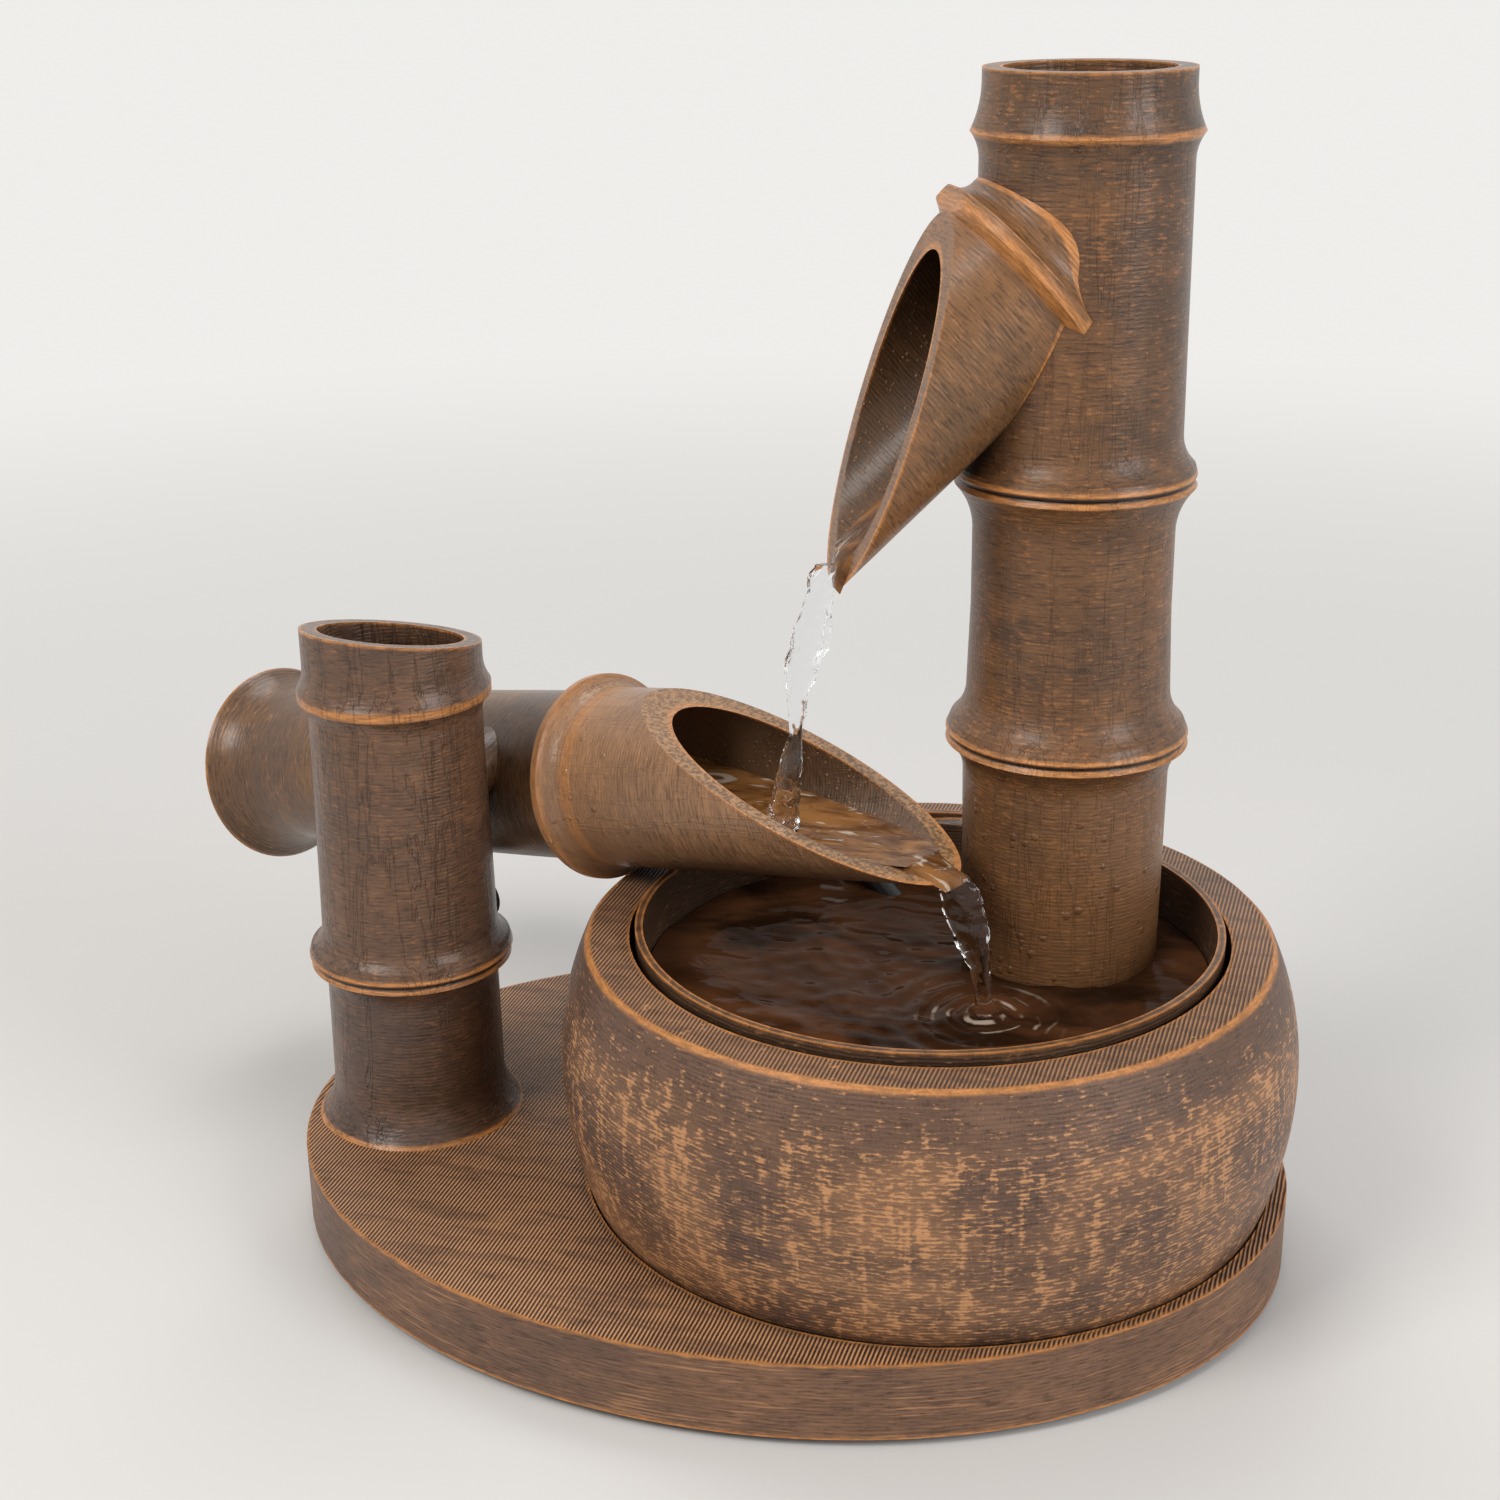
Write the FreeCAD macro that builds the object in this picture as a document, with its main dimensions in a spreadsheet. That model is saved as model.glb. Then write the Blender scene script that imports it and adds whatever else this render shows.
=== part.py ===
import FreeCAD, Part
import math
import os
import re
import Sketcher
from FreeCAD import Placement, Rotation, Vector

# A table fountain with a rocking bamboo tube. Millimetres and degrees, +Z up.
# The origin is on the ground under the middle of the oval plate, with +X along the plate towards the bowl.

doc = FreeCAD.newDocument("shishi_odoshi")

sizes = {
    # oval plate and its pad
    "pad_thickness": 2.0, "pad_inset": 3.0,
    "plate_length": 226.4, "plate_width": 179.2, "plate_thickness": 17.1,
    "recess_depth": 3.0, "recess_gap": 1.6,
    # bowl and its liner
    "bowl_offset": 32.9, "bowl_height": 58.65, "bowl_base_radius": 74.8,
    "bowl_belly_radius": 80.9, "bowl_belly_height": 30.5, "bowl_rim_radius": 75.0,
    "bowl_rim_round": 1.0, "bowl_bore_radius": 65.2, "bowl_floor": 5.0,
    "liner_gap": 1.3, "liner_wall": 1.7, "liner_floor": 2.5, "liner_proud": 2.2,
    "notch_angle": 123.0, "notch_width": 9.0, "notch_depth": 10.8,
    # small bevelled panel on the liner's rear wall
    "panel_angle": 91.5, "panel_width": 26.0, "panel_height": 15.0, "panel_depth": 2.6,
    "panel_bevel": 1.2, "panel_drop": 1.0, "panel_hole_radius": 0.9, "panel_hole_inset": 5.0,
    # column of three bamboo sections
    "column_x": 58.4, "column_y": 20.3, "column_bore": 17.0,
    "lower_length": 92.4, "middle_length": 56.6, "upper_length": 81.9,
    "column_foot_radius": 21.2, "column_neck_radius": 22.2, "column_waist_radius": 21.2,
    "lower_ring_radius": 26.1, "upper_ring_radius": 25.2, "ring_step": 1.0, "ring_lip": 1.6,
    "ring_flare": 9.0, "upper_root_radius": 21.9, "upper_neck_radius": 21.5,
    "top_radius": 21.2, "top_bore": 17.2, "top_node_radius": 23.4, "top_node_drop": 12.3,
    "top_node_rise": 9.5, "top_node_fall": 5.5,
    "spigot_length": 8.0, "spigot_wall": 2.2, "glue_gap": 0.08,
    "slot_width": 9.2, "slot_height": 33.5, "intake_width": 10.0, "intake_height": 6.0,
    # oblique spout
    "spout_heading": 209.5, "spout_fall": 42.0, "spout_height": 226.0,
    "spout_radius": 20.1, "spout_wall": 3.6, "spout_collar_radius": 23.3,
    "spout_collar_place": 17.6, "spout_collar_width": 2.8, "spout_collar_flare": 4.0,
    "spout_cut_lean": 17.2, "spout_cut_reach": 28.1, "insert_thickness": 3.0, "insert_place": 18.5,
    # delivery hose
    "hose_radius": 4.2, "hose_bore": 3.0, "hose_offset": 11.7, "hose_bend": 12.0, "hose_end": 24.0,
    # post
    "post_x": -86.8, "post_y": -9.6, "post_bore": 16.0, "post_floor": 6.0,
    "post_seam_height": 40.3, "post_height": 116.05, "post_radius": 19.8, "post_waist_radius": 19.3,
    "post_foot_radius": 23.9, "post_foot_flare": 10.0, "post_ring_radius": 23.3, "post_ring_flare": 5.5,
    "post_top_radius": 19.9, "post_node_radius": 21.5, "post_node_height": 103.4,
    "post_node_width": 2.0, "post_node_rise": 5.5, "post_node_fall": 4.5,
    "post_top_tilt": 11.1, "post_top_turn": 75.3,
    # rocking tube
    "rocker_heading": -23.3, "rocker_tilt": 11.5, "rocker_swing": 14.0, "rocker_gap": 2.8,
    "pivot_height": 96.52, "pin_above_axis": 6.5, "rocker_radius": 19.9, "rocker_wall": 3.5,
    "ring_place": 23.13, "rocker_ring_radius": 23.9, "rocker_ring_width": 2.4, "rocker_ring_flare": 5.0,
    "mouth_radius": 20.7, "lip_radius": 19.6, "cut_start": 42.93, "cut_end": 119.43,
    "tail_reach": 100.87, "tail_flare_radius": 25.3, "tail_flare": 14.0, "tail_lip": 2.0,
    "socket_length": 10.0, "bulkhead_thickness": 3.0, "cap_thickness": 3.0, "cap_inset": 8.0,
    # pivot and tail stop
    "pin_radius": 2.5, "pin_play": 0.05, "pin_head_radius": 5.0, "pin_head": 3.0,
    "boss_radius": 7.0, "boss_reach": 7.0, "hub_radius": 6.0, "hub_base_radius": 10.0, "hub_proud": 2.0,
    "bush_radius": 4.0, "bush_length": 5.5, "bush_flange_radius": 5.2, "bush_flange": 1.0,
    "washer_radius": 5.5, "clip_radius": 4.4, "clip_thickness": 0.8, "pin_tail": 1.5,
    "peg_radius": 2.6, "peg_back": 14.0, "peg_short": 5.5, "peg_root": 7.0,
    "buffer_radius": 5.0, "buffer_length": 9.0, "rest_gap": 0.3,
    # pump, standing inside the foot of the column
    "pump_offset": 4.8, "pump_radius": 11.5, "cup_height": 3.0, "cup_radius": 3.2, "cup_circle": 7.0,
    "strainer_height": 6.0, "cover_height": 10.0, "motor_height": 21.0, "pump_wall": 1.5,
    "inlet_radius": 3.0, "nipple_radius": 2.9, "nipple_bore": 2.0, "nipple_length": 12.0,
    "nipple_boss": 4.0, "shaft_radius": 1.0, "shaft_play": 0.05, "impeller_radius": 8.5,
    "impeller_disc": 1.0, "vane_height": 4.0, "vane_thickness": 0.9, "impeller_hub": 2.6,
    "magnet_radius": 5.5, "magnet_length": 13.0, "run_gap": 0.4, "seal_radius": 0.7,
    "clip_band": 4.0, "clip_wall": 0.4,
    # pump lead, its coil and its plug
    "lead_diameter": 6.0, "gland_length": 14.0, "gland_radius": 4.3, "gland_tip_radius": 3.4,
    "coil_x": 14.0, "coil_y": 165.0, "coil_radius": 45.2, "coil_height": 4.4, "coil_pitch": 6.6,
    "coil_turns_in": 3.0, "coil_turns_out": 2.5, "tail_level": 14.0, "tail_length": 42.0,
    "tie_width": 10.0, "tie_thickness": 1.1, "tie_play": 0.15, "tie_sag": 1.0,
    "plug_radius": 5.2, "plug_tip_radius": 4.0, "plug_length": 26.0, "plug_taper": 9.0,
    "barrel_radius": 2.75, "barrel_bore": 1.05, "barrel_length": 9.5, "barrel_wall": 0.5,
    # screws
    "screw_radius": 1.9, "screw_head_radius": 3.6, "screw_head": 2.4, "screw_play": 0.1,
    "screw_bite": 4.0, "bowl_screw_circle": 40.0, "post_screw_circle": 10.0,
}

sheet = doc.addObject("Spreadsheet::Sheet", "Sizes")
for row, (name, number) in enumerate(sizes.items(), 1):
    sheet.set("A%d" % row, name)
    sheet.set("B%d" % row, str(number))
    sheet.setAlias("B%d" % row, name)
doc.recompute()

size_names = re.compile(r"\b(%s)\b" % "|".join(sizes))
nodes = []


def linked(text):
    """Point every size named in a formula at its cell of the sheet."""
    return size_names.sub(r"Sizes.\1", text)


def value(text):
    """Work a formula out with the sheet's numbers."""
    return float(sheet.evalExpression(linked(text)))


def bind(item, **formulas):
    """Tie properties of an object to formulas."""
    for name, text in formulas.items():
        item.setExpression(name, linked(text))
    return item


def keep(item, label):
    """Mark an object as one finished sub-part."""
    item.Label = label
    nodes.append(item)
    return item


# Places and directions

plate_top = "(pad_thickness + plate_thickness)"
bowl_base = "(%s - recess_depth)" % plate_top
rim_top = "(%s + bowl_height)" % bowl_base
liner_base = "(%s + bowl_floor)" % bowl_base
pool_floor = "(%s + liner_floor)" % liner_base
liner_radius = "(bowl_bore_radius - liner_gap)"
pool_radius = "(%s - liner_wall)" % liner_radius
lower_seam = "(%s + lower_length)" % pool_floor
upper_seam = "(%s + middle_length)" % lower_seam
post_seam = "(%s + post_seam_height)" % plate_top

up = Vector(0, 0, 1)


def heading(text):
    """A level direction from its angle."""
    turn = math.radians(value(text))
    return Vector(math.cos(turn), math.sin(turn), 0)


def at(x, y, z):
    return Vector(value(x), value(y), value(z))


def aimed(origin, along, across):
    """Stand a piece with its own Z along one direction and its own X along another."""
    return Placement(origin, Rotation(across, along.cross(across), along, "ZXY"))


bowl_axis = at("bowl_offset", "0", bowl_base)
column_foot = at("column_x", "column_y", pool_floor)
post_foot = at("post_x", "post_y", plate_top)
spout_way = heading("spout_heading")
rocker_way = heading("rocker_heading")
pin_way = up.cross(rocker_way)


# Route of the lead from the pump over the bowl's rim and down to its coil, chosen by hand

lead_route = [
    (33.0, 29.8, 52.3), (15.0, 38.6, 62.0), (0.2, 50.3, 74.8), (-14.5, 73.0, 76.0), (-24.0, 90.0, 64.0),
    (-28.5, 100.5, 43.5), (-31.0, 106.5, 23.5), (-33.5, 124.5, 8.5), (-31.2, 146.0, 4.4), (-31.2, 165.0, 4.4),
]
lead_points = [Vector(*point) for point in lead_route]
lead_radius = value("lead_diameter / 2")
lead_way = (lead_points[1] - lead_points[0]).normalize()
lead_level = Vector(lead_way.x, lead_way.y, 0).normalize()


# Tools for drawing and turning


def origin_plane(body, role):
    return next(item for item in body.Origin.OriginFeatures if item.Role == role)


def arc_between(here, there, level):
    """An arc whose centre is level with one of its two ends."""
    middle = (there.x ** 2 - here.x ** 2 + (there.y - here.y) ** 2) / (2 * (there.x - here.x))
    if level is there:
        middle = (here.x ** 2 - there.x ** 2 + (here.y - there.y) ** 2) / (2 * (here.x - there.x))
    centre = Vector(middle, level.y, 0)
    radius = (here - centre).Length
    start = math.atan2(here.y - centre.y, here.x - centre.x)
    end = math.atan2(there.y - centre.y, there.x - centre.x)
    turn = (end - start + math.pi) % (2 * math.pi) - math.pi
    circle = Part.Circle(centre, up, radius)
    if turn > 0:
        return Part.ArcOfCircle(circle, start, start + turn), 1, 2
    return Part.ArcOfCircle(circle, end, end - turn), 2, 1


def draw(body, plane, corners):
    """Draw a closed outline. A corner is (across, up) and may name the end that its arc is level with."""
    sketch = body.newObject("Sketcher::SketchObject", body.Name + "_outline")
    sketch.AttachmentSupport = [(origin_plane(body, plane), "")]
    sketch.MapMode = "FlatFace"
    points = [Vector(value(corner[0]), value(corner[1]), 0) for corner in corners]
    ends = []
    for index, corner in enumerate(corners):
        here = points[index]
        there = points[(index + 1) % len(points)]
        if len(corner) == 2:
            ends.append((sketch.addGeometry(Part.LineSegment(here, there)), 1, 2))
            continue
        level = here if corner[2] == "start" else there
        arc, first, last = arc_between(here, there, level)
        edge = sketch.addGeometry(arc)
        ends.append((edge, first, last))
    for index, (edge, first, last) in enumerate(ends):
        following = ends[(index + 1) % len(ends)]
        sketch.addConstraint(Sketcher.Constraint("Coincident", edge, last, following[0], following[1]))
    for (edge, first, last), corner, point in zip(ends, corners, points):
        if len(corner) == 3:
            pinned = first if corner[2] == "start" else last
            sketch.addConstraint(Sketcher.Constraint("Horizontal", edge, 3, edge, pinned))
        for kind, text, number, axis in (("DistanceX", corner[0], point.x, -2),
                                         ("DistanceY", corner[1], point.y, -1)):
            if text == "0":
                sketch.addConstraint(Sketcher.Constraint("PointOnObject", edge, first, axis))
                continue
            place = sketch.addConstraint(Sketcher.Constraint(kind, -1, 1, edge, first, number))
            sketch.setExpression("Constraints[%d]" % place, linked(text))
    return sketch


def lathe(label, corners, place):
    """Turn an outline, drawn as (radius, height), round its own upright axis."""
    body = doc.addObject("PartDesign::Body", label)
    sketch = draw(body, "XZ_Plane", corners)
    turned = body.newObject("PartDesign::Revolution", label + "_turned")
    turned.Profile = sketch
    turned.ReferenceAxis = (sketch, ["V_Axis"])
    turned.Angle = 360
    body.Placement = place
    return body


def cylinder(label, radius, length, place):
    rod = bind(doc.addObject("Part::Cylinder", label), Radius=radius, Height=length)
    rod.Placement = place
    return rod


def cone(label, bottom, top, length, place):
    taper = bind(doc.addObject("Part::Cone", label), Radius1=bottom, Radius2=top, Height=length)
    taper.Placement = place
    return taper


def block(label, length, width, height, corner, turn=Rotation()):
    """A box centred across its width, that starts at a point and runs along its turned X."""
    solid = bind(doc.addObject("Part::Box", label), Length=length, Width=width, Height=height)
    solid.Placement = Placement(corner - turn.multVec(Vector(0, value(width) / 2, 0)), turn)
    return solid


def cut(label, base, *tools):
    for count, tool in enumerate(tools, 1):
        result = doc.addObject("Part::Cut", "%s_cut%d" % (label, count))
        result.Base = base
        result.Tool = tool
        base = result
    return base


def fuse(label, *pieces):
    result = doc.addObject("Part::MultiFuse", label + "_joined")
    result.Shapes = list(pieces)
    result.Refine = True
    return result


def group(label, pieces):
    result = doc.addObject("Part::Compound", label + "_group")
    result.Links = list(pieces)
    return keep(result, label)


def level(vector_or_x, y="0", z="0"):
    """A level placement at a point."""
    if isinstance(vector_or_x, Vector):
        return Placement(vector_or_x, Rotation())
    return Placement(at(vector_or_x, y, z), Rotation())


def oval(label, length, width, thickness, height):
    """A flat elliptical slab."""
    ring = bind(doc.addObject("Part::Ellipse", label + "_oval"), MajorRadius=length + " / 2",
                MinorRadius=width + " / 2")
    slab = doc.addObject("Part::Extrusion", label + "_slab")
    slab.Base = ring
    slab.DirMode = "Custom"
    slab.Dir = up
    slab.Solid = True
    bind(slab, LengthFwd=thickness)
    ring.Placement = Placement(at("0", "0", height), Rotation())
    return slab


def ring_of(centre, radius, count, start=0.0):
    """Points evenly round a centre."""
    for index in range(count):
        turn = math.radians(start + 360.0 * index / count)
        yield centre + Vector(math.cos(turn), math.sin(turn), 0) * value(radius)


# Oval plate, its pad and the screws through it

bowl_screws = [point for point in ring_of(at("bowl_offset", "0", "0"), "bowl_screw_circle", 3, 60.0)]
post_screws = [point for point in ring_of(at("post_x", "post_y", "0"), "post_screw_circle", 3, 30.0)]
head_floor = "pad_thickness"


def screw(label, foot, length):
    """A pan head screw that points up, with its head sunk in the plate's underside."""
    head = cylinder(label + "_head", "screw_head_radius", "screw_head", level(foot))
    shank = cylinder(label + "_shank", "screw_radius", length, level(foot))
    return fuse(label, head, shank)


def screw_hole(label, foot, length):
    head = cylinder(label + "_sink", "screw_head_radius + screw_play", "screw_head + screw_play", level(foot))
    shank = cylinder(label + "_hole", "screw_radius + screw_play", length, level(foot))
    return fuse(label + "_space", head, shank)


keep(oval("base_pad", "(plate_length - 2 * pad_inset)", "(plate_width - 2 * pad_inset)", "pad_thickness", "0"),
     "base_pad")

bowl_screw_length = "plate_thickness - recess_depth + screw_bite"
post_screw_length = "plate_thickness + screw_bite"
plate = oval("base_plate", "plate_length", "plate_width", "plate_thickness", "pad_thickness")
recess = cylinder("recess", "bowl_base_radius + recess_gap", "recess_depth * 2", level("bowl_offset", "0", bowl_base))
holes = []
heads = {"bowl": [], "post": []}
for kind, places, length in (("bowl", bowl_screws, bowl_screw_length), ("post", post_screws, post_screw_length)):
    for count, place in enumerate(places):
        foot = place + at("0", "0", head_floor)
        holes.append(screw_hole("%s_screw_%d" % (kind, count), foot, "plate_thickness + pad_thickness"))
        heads[kind].append(screw("%s_screw_%d" % (kind, count), foot, length))
keep(cut("base_plate", plate, recess, *holes), "base_plate")
group("bowl_screws", heads["bowl"])
group("post_screws", heads["post"])


# Bowl and liner, both notched for the lead

notch_turn = Rotation(up, value("notch_angle"))
notch_start = at("bowl_offset", "0", "%s - notch_depth + liner_proud" % rim_top)
notch_start = notch_start + notch_turn.multVec(at("bowl_bore_radius - 10", "0", "0"))


def notch(label):
    return block(label, "30", "notch_width", "notch_depth * 2", notch_start, notch_turn)


bowl = lathe("outer_bowl_body", [
    ("0", "0"),
    ("bowl_base_radius", "0", "end"),
    ("bowl_belly_radius", "bowl_belly_height", "start"),
    ("bowl_rim_radius", "bowl_height - bowl_rim_round"),
    ("bowl_rim_radius - bowl_rim_round", "bowl_height"),
    ("bowl_bore_radius", "bowl_height"),
    ("bowl_bore_radius", "bowl_floor"),
    ("0", "bowl_floor"),
], level(bowl_axis))
bites = [cylinder("bowl_bite_%d" % count, "screw_radius + glue_gap", "screw_bite + glue_gap",
                  level(place + at("0", "0", bowl_base)))
         for count, place in enumerate(bowl_screws)]
keep(cut("outer_bowl", bowl, notch("bowl_notch"), *bites), "outer_bowl")

liner_height = "(bowl_height - bowl_floor + liner_proud)"
liner = lathe("inner_bowl_body", [
    ("0", "0"),
    (liner_radius, "0"),
    (liner_radius, liner_height),
    (pool_radius, liner_height),
    (pool_radius, "liner_floor"),
    ("0", "liner_floor"),
], level(at("bowl_offset", "0", liner_base)))
keep(cut("inner_bowl", liner, notch("liner_notch")), "inner_bowl")


# Bevelled panel on the liner's rear wall

panel_turn = Rotation(up, value("panel_angle"))
panel_out = panel_turn.multVec(Vector(1, 0, 0))
panel_foot = at("bowl_offset", "0", "%s + liner_proud - panel_drop - panel_height" % rim_top)
panel_slab = doc.addObject("Part::Wedge", "panel_slab")
bind(panel_slab, Xmin="0", Ymin="0", Zmin="0", X2min="panel_bevel", Z2min="panel_bevel",
     Xmax="panel_width", Ymax="panel_depth", Zmax="panel_height",
     X2max="panel_width - panel_bevel", Z2max="panel_height - panel_bevel")
panel_slab.Placement = Placement(
    panel_foot + panel_out * value(pool_radius) + up.cross(panel_out) * value("panel_width / -2"),
    Rotation(up, value("panel_angle") + 90))
panel_round = cylinder("panel_round", "%s - glue_gap" % pool_radius, "panel_height * 3",
                       level(bowl_axis + at("0", "0", "bowl_height - panel_height * 2")))
panel_bound = doc.addObject("Part::Common", "panel_bound")
panel_bound.Base = panel_slab
panel_bound.Tool = panel_round
hole_foot = (panel_foot + panel_out * value(pool_radius) + at("0", "0", "panel_height / 2")
             + up.cross(panel_out) * value("panel_width / 2 - panel_hole_inset"))
inward = panel_out * -1
panel_hole = cylinder("panel_hole", "panel_hole_radius + screw_play", "panel_depth * 3",
                      aimed(hole_foot - inward * value("panel_depth"), inward, up))
keep(cut("rear_panel", panel_bound, panel_hole), "rear_panel")
keep(cylinder("panel_screw", "panel_hole_radius", "panel_depth * 0.6",
              aimed(hole_foot + inward * value("panel_depth * 0.35"), inward, up)), "rear_panel_screw")


# Column: three hollow sections, each with a spigot that drops into the one below

spigot_radius = "(column_bore + spigot_wall)"
column_lower = lathe("column_lower_body", [
    ("column_bore", "0"),
    ("column_foot_radius", "0"),
    ("column_neck_radius", "lower_length - ring_flare", "start"),
    ("lower_ring_radius", "lower_length - ring_lip"),
    ("lower_ring_radius - ring_step", "lower_length"),
    (spigot_radius, "lower_length"),
    (spigot_radius, "lower_length - spigot_length"),
    ("column_bore", "lower_length - spigot_length"),
], level(column_foot))
slot_turn = Rotation(Vector(1, 0, 0), lead_level)
slot_start = Vector(lead_points[0].x, lead_points[0].y, column_foot.z) - lead_level * value("column_foot_radius")
lead_slot = block("lead_slot", "column_foot_radius * 2", "slot_width", "slot_height", slot_start, slot_turn)
intakes = [block("intake_%d" % count, "column_foot_radius * 4", "intake_width", "intake_height",
                 column_foot - turn.multVec(at("column_foot_radius * 2", "0", "0")), turn)
           for count, turn in enumerate((Rotation(up, 30), Rotation(up, 120)))]
keep(cut("column_lower", column_lower, lead_slot, *intakes), "column_lower")

keep(lathe("column_middle_body", [
    ("column_bore", "-spigot_length + glue_gap"),
    ("%s - glue_gap" % spigot_radius, "-spigot_length + glue_gap"),
    ("%s - glue_gap" % spigot_radius, "0"),
    ("lower_ring_radius - ring_step / 3", "0"),
    ("lower_ring_radius", "ring_lip / 2"),
    ("lower_ring_radius - ring_step", "ring_lip * 2", "end"),
    ("column_waist_radius + 0.6", "ring_flare + ring_lip"),
    ("column_waist_radius", "middle_length / 2"),
    ("column_waist_radius", "middle_length - ring_flare * 1.3", "start"),
    ("upper_ring_radius", "middle_length - ring_lip"),
    ("upper_ring_radius - ring_step", "middle_length"),
    (spigot_radius, "middle_length"),
    (spigot_radius, "middle_length - spigot_length"),
    ("column_bore", "middle_length - spigot_length"),
], level(at("column_x", "column_y", lower_seam))), "column_middle")


def upper_outline(grow, hollow):
    """The top section's outline, as it is or grown a little all round."""
    side = [
        ("upper_ring_radius - ring_step / 3 + %s" % grow, "0"),
        ("upper_ring_radius + %s" % grow, "ring_lip / 2"),
        ("upper_ring_radius - ring_step / 2 + %s" % grow, "ring_lip * 1.6", "end"),
        ("upper_root_radius + %s" % grow, "ring_flare"),
        ("upper_neck_radius + %s" % grow, "upper_length - top_node_drop - top_node_fall", "start"),
        ("top_node_radius + %s" % grow, "upper_length - top_node_drop", "end"),
        ("top_radius + %s" % grow, "upper_length - top_node_drop + top_node_rise"),
        ("top_radius + %s" % grow, "upper_length"),
    ]
    if not hollow:
        return [("0", "0")] + side + [("0", "upper_length")]
    return [
        ("column_bore", "-spigot_length + glue_gap"),
        ("%s - glue_gap" % spigot_radius, "-spigot_length + glue_gap"),
        ("%s - glue_gap" % spigot_radius, "0"),
    ] + side + [
        ("top_bore", "upper_length"),
        ("top_bore", "upper_length - top_node_drop"),
        ("column_bore", "upper_length - top_node_drop"),
    ]


upper_place = level(at("column_x", "column_y", upper_seam))
spout_root = at("column_x", "column_y", "spout_height")
spout_axis = (spout_way * value("cos(spout_fall)")) - (up * value("sin(spout_fall)"))
spout_up = (spout_way * value("sin(spout_fall)")) + (up * value("cos(spout_fall)"))
spout_place = aimed(spout_root, spout_axis, spout_up)
spout_bore = "(spout_radius - spout_wall)"
column_upper = lathe("column_upper_body", upper_outline("0", True), upper_place)
spout_port = cylinder("spout_port", spout_bore, "spout_cut_reach * 2", spout_place)
keep(cut("column_upper", column_upper, spout_port), "column_upper")


# Spout: a branch with a bead, saddled on the column and cut off at a slant

spout_length = "(spout_cut_reach + spout_radius * sin(spout_fall + spout_cut_lean)) / cos(spout_fall + spout_cut_lean)"
spout_tube = lathe("spout_tube", [
    (spout_bore, "0"),
    ("spout_radius", "0"),
    ("spout_radius", "spout_collar_place - spout_collar_flare - spout_collar_width / 2", "start"),
    ("spout_collar_radius", "spout_collar_place - spout_collar_width / 2"),
    ("spout_collar_radius", "spout_collar_place + spout_collar_width / 2"),
    ("spout_radius + 0.3", "spout_collar_place + spout_collar_width / 2 + 1.6"),
    ("spout_radius", "%s + 5" % spout_length),
    (spout_bore, "%s + 5" % spout_length),
], spout_place)
column_hug = lathe("column_hug", upper_outline("glue_gap", False), upper_place)
cut_way = (spout_way * value("cos(spout_cut_lean)")) + (up * value("sin(spout_cut_lean)"))
cut_face = aimed(spout_root + cut_way * value("spout_cut_reach"), cut_way, up.cross(cut_way))
spout_end = cylinder("spout_end", "spout_radius * 8", "spout_radius * 6", cut_face)
keep(cut("spout", spout_tube, column_hug, spout_end), "spout")

insert_disc = cylinder("insert_disc", "%s - glue_gap" % spout_bore, "insert_thickness",
                       aimed(spout_root + spout_axis * value("insert_place + spout_collar_width"), spout_axis,
                             spout_up))


# Hose from the pump up the back of the column and over into the spout

hose_back = spout_way * -value("hose_offset")
hose_line = Vector(column_foot.x, column_foot.y, 0) + hose_back
motor_base = "(%s + cup_height + strainer_height + cover_height)" % pool_floor
hose_foot_height = "(%s + 2)" % motor_base
turn_over = value("90 + spout_fall")
bend = value("hose_bend")
exit_side = value("hose_bend * sin(spout_fall) - hose_offset + hose_bend")
exit_height = value("spout_height") - exit_side * value("tan(spout_fall)")
bend_height = exit_height - value("hose_bend * cos(spout_fall)")
bend_centre = hose_line + spout_way * bend + up * bend_height


def on_bend(turn):
    """A point of the hose's bend, counted in degrees from where the straight run ends."""
    angle = math.radians(180.0 - turn)
    return bend_centre + spout_way * (bend * math.cos(angle)) + up * (bend * math.sin(angle))


hose_foot = hose_line + at("0", "0", hose_foot_height)
hose_exit = on_bend(turn_over)
hose_tip = spout_root + spout_axis * value("hose_end + insert_thickness")
hose_tip = hose_exit + spout_axis * ((hose_tip - hose_exit).dot(spout_axis))
hose_wire = Part.Wire([
    Part.makeLine(hose_foot, on_bend(0.0)),
    Part.Arc(on_bend(0.0), on_bend(turn_over / 2), hose_exit).toShape(),
    Part.makeLine(hose_exit, hose_tip),
])


def pipe(path, start, way, radius):
    """A round tube along a wire."""
    profile = Part.Wire([Part.makeCircle(radius, start, way)])
    return path.makePipeShell([profile], True, False)


hose = doc.addObject("Part::Feature", "delivery_hose_body")
hose.Shape = pipe(hose_wire, hose_foot, up, value("hose_radius")).cut(
    pipe(hose_wire, hose_foot, up, value("hose_bore")))
keep(hose, "delivery_hose")

insert_hole = cylinder("insert_hole", "hose_radius + glue_gap", "hose_end * 2",
                       aimed(hose_exit, spout_axis, spout_up))
keep(cut("spout_insert", insert_disc, insert_hole), "spout_insert")

clip_outer = cylinder("clip_outer", "hose_radius + glue_gap + clip_wall", "clip_band",
                      level(hose_foot + up * value("nipple_length / 3")))
clip_inner = cylinder("clip_inner", "hose_radius + glue_gap", "clip_band",
                      level(hose_foot + up * value("nipple_length / 3")))
keep(cut("hose_clip", clip_outer, clip_inner), "hose_clip")


# Pump

pump_axis = Vector(column_foot.x, column_foot.y, 0) + spout_way * value("pump_offset")


def pump_at(height):
    return level(pump_axis + at("0", "0", height))


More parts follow.
